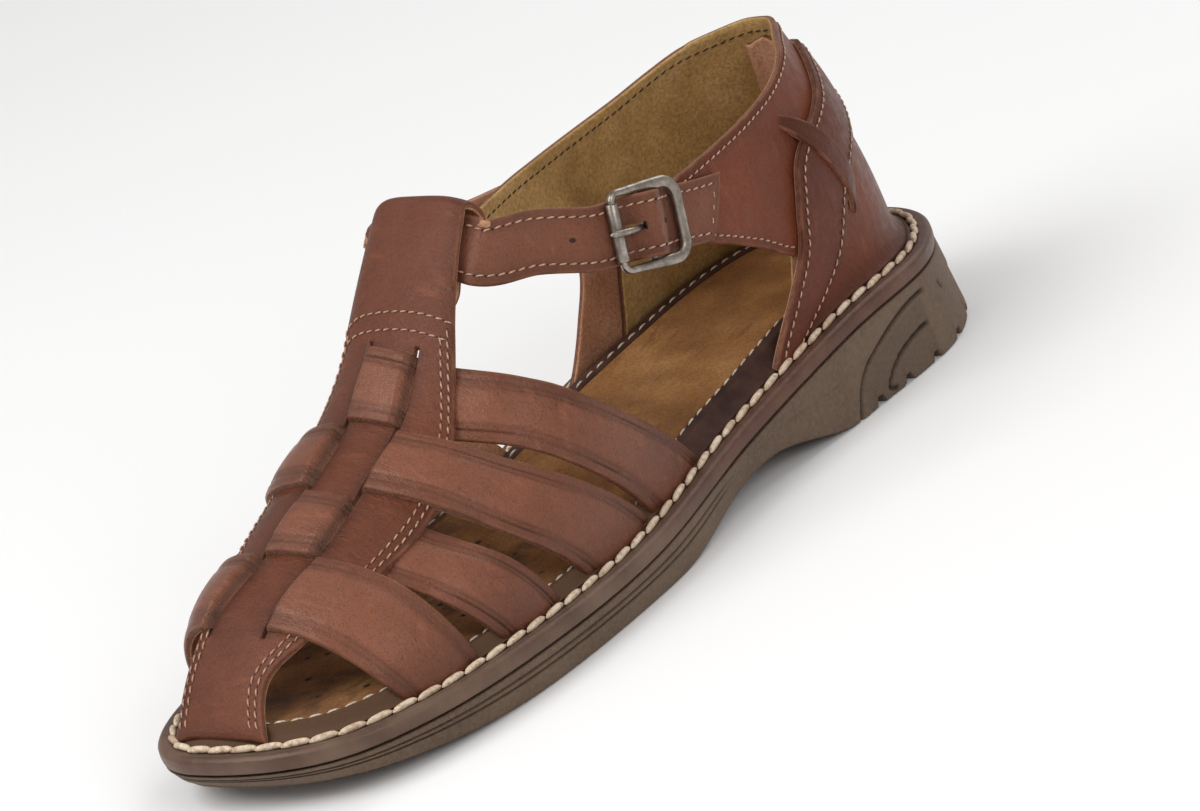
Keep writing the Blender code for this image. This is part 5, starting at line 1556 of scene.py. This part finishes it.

# painted shade: the strap's other holes are not cut, only drawn as dark dots
spare = middle + np.array(SPARE_HOLES)
path, run, width, out = strap_course(spare)
path = path + out * (bulge(spare) + cup.max() - 0.00018)[:, None]
verts, faces = thread_mesh(path, run, out, 0.0019, 0.0009, -0.00042, 0.0, 12, 5)
add_piece("ankle_strap_hole_shade", verts, faces, [hole_shade_and_dark_thread], 0, (), None, 80.0)


# Buckle
# Frame of aged nickel with a wide rounded far side, a roller on its near bar and a prong that is
# hinged on a hidden bar, comes up through the strap and rests over the roller.
metal = new_material("aged_nickel", (0.30, 0.26, 0.22), 0.34, Metallic=1.0)
patina = noise(metal, 240.0, 5.0, 0.65)
link(metal, ramp(metal, patina, (0.30, (0.140, 0.110, 0.086)), (0.52, (0.300, 0.262, 0.225)),
                 (0.78, (0.520, 0.480, 0.430))))
link(metal, span(metal, patina, 0.3, 0.7, 0.48, 0.28), "Roughness")
bump(metal, (patina, 0.00007), (noise(metal, 2200.0, 2.0), 0.00003))

path, _, width, _ = strap_course(np.array([middle - reach, middle, middle + reach]))
buckle_run = unit(path[2] - path[0])
buckle_up = unit(width[1] - buckle_run * np.dot(width[1], buckle_run))
buckle_out = np.cross(buckle_run, buckle_up)
buckle_origin = 0.5 * (path[0] + path[2]) + buckle_out * (ROLLER_RADIUS + GAP)


def at_buckle(points):
    """Points given along the buckle's run, height and outward axes."""
    points = np.asarray(points, float)
    return (buckle_origin + points[..., :1] * buckle_run + points[..., 1:2] * buckle_up
            + points[..., 2:] * buckle_out)


def bar_mesh(path, flat, thick, sides=16, closed=False, power=1.0):
    """Bar along a path in the buckle's plane: the section is an ellipse of half width flat and
    half thickness thick at each point; a power below 1 squares it."""
    around = np.roll(path, -1, axis=0) - np.roll(path, 1, axis=0)
    along = unit(around if closed else np.gradient(path, axis=0))
    side = unit(np.cross([0.0, 0.0, 1.0], along))
    out = np.cross(along, side)
    turn = np.linspace(0.0, 2.0 * np.pi, sides, endpoint=False)
    c, s = (np.sign(wave) * np.abs(wave) ** power for wave in (np.cos(turn), np.sin(turn)))
    flat, thick = (np.broadcast_to(size, (len(path),))[:, None] for size in (flat, thick))
    ring = side[:, None] * (c * flat)[..., None] + out[:, None] * (s * thick)[..., None]
    return tubes(at_buckle(path[:, None] + ring)[None], closed)


def rounded_frame():
    """Outline of the frame: four straight bars joined by quarter turns, tight at the roller side
    and wide at the far side, with half widths for each point."""
    near, far = FRAME_CORNERS
    rows = []
    for x, y, radius, start in ((-reach, -high, near, 180), (reach, -high, far, 270),
                                (reach, high, far, 0), (-reach, high, near, 90)):
        turn = np.radians(start + np.linspace(0.0, 90.0, 10))
        rows.append(np.stack([x - np.sign(x) * radius + radius * np.cos(turn),
                              y - np.sign(y) * radius + radius * np.sin(turn), 0.0 * turn], axis=1))
    corners = np.concatenate(rows)
    closed = np.vstack([corners, corners[:1]])
    length = run_length(closed)
    return read_line(closed, length, np.linspace(0.0, length[-1], 160, endpoint=False))


outline = rounded_frame()
toward_far = ease((outline[:, 0] + reach) / (1.6 * reach))
pin = ease((-reach + 0.0012 - outline[:, 0]) / 0.0012) * ease((high - 0.0016 - np.abs(outline[:, 1])) / 0.001)
flat_width = (0.00100 + 0.00060 * toward_far) * (1.0 - pin) + PIN_RADIUS * pin
thick_width = (0.00105 + 0.00010 * toward_far) * (1.0 - pin) + PIN_RADIUS * pin
verts, faces = bar_mesh(outline, flat_width, thick_width, 18, True, 0.85)
add_piece("buckle_frame_metal", verts, faces, [metal], 0, ("buckle_frame",), None, 70.0)
path = np.array([(0.0, y, -HINGE_DROP) for y in np.linspace(-high, high, 8)])
verts, faces = bar_mesh(path, HINGE_RADIUS, HINGE_RADIUS)
add_piece("buckle_hinge_bar", verts, faces, [metal], 0, ("buckle_frame",), None)
half = high - FRAME_CORNERS[0] - GAP
ends = np.array([-1.0, -0.985, -0.95, -0.4, 0.0, 0.4, 0.95, 0.985, 1.0]) * half
fat = ROLLER_RADIUS - np.array([0.0004, 0.0001, 0.0, 0.0, 0.0, 0.0, 0.0, 0.0001, 0.0004])
verts, faces = bar_mesh(np.array([(-reach, y, 0.0) for y in ends]), fat, fat, 20)
add_piece("buckle_roller_metal", verts, faces, [metal], 0, ("buckle_roller",), None, 40.0)
orbit = HINGE_RADIUS + GAP + PRONG_RADIUS
clear = ROLLER_RADIUS + GAP + PRONG_RADIUS
# the prong curls round the hinge bar, then rises through the strap and lies over the roller
around = np.radians(np.linspace(-50, -170, 9))
curl = np.column_stack([orbit * np.cos(around), orbit * np.sin(around) - HINGE_DROP])
blade = np.array([(-0.33, 0.25), (-0.52, 0.85), (-0.78, 1.08), (-1.00, 1.0), (-1.20, 0.86), (-1.34, 0.60)])
blade = blade * (reach, clear)
blade[3, 1] += 0.0001
hook = np.insert(np.vstack([curl, blade]), 1, 0.0, axis=1)
knots = np.column_stack([np.linspace(0.0, 1.0, len(hook)), hook])
t = np.linspace(0.0, 1.0, 60)
prong = np.stack([curve(knots, t, i) for i in (1, 2, 3)], axis=1)


def prong_mesh(path, radius):
    """Wire bent in the plane of run and outward axes, a quarter wider than it is thick; radius
    is given for each point."""
    side = np.tile([0.0, 1.0, 0.0], (len(path), 1))
    out = np.cross(unit(np.gradient(path, axis=0)), side)
    turn = np.linspace(0.0, 2.0 * np.pi, 12, endpoint=False)
    ring = (side[:, None] * np.cos(turn)[None, :, None] * 1.25
            + out[:, None] * np.sin(turn)[None, :, None]) * radius[:, None, None]
    return tubes(at_buckle(path[:, None] + ring)[None])


end_taper = np.clip(np.minimum(t, 1.0 - t) / 0.03, 0.35, 1.0)
verts, faces = prong_mesh(prong, PRONG_RADIUS * end_taper)
add_piece("buckle_prong_metal", verts, faces, [metal], 0, ("buckle_prong",), None, 60.0)
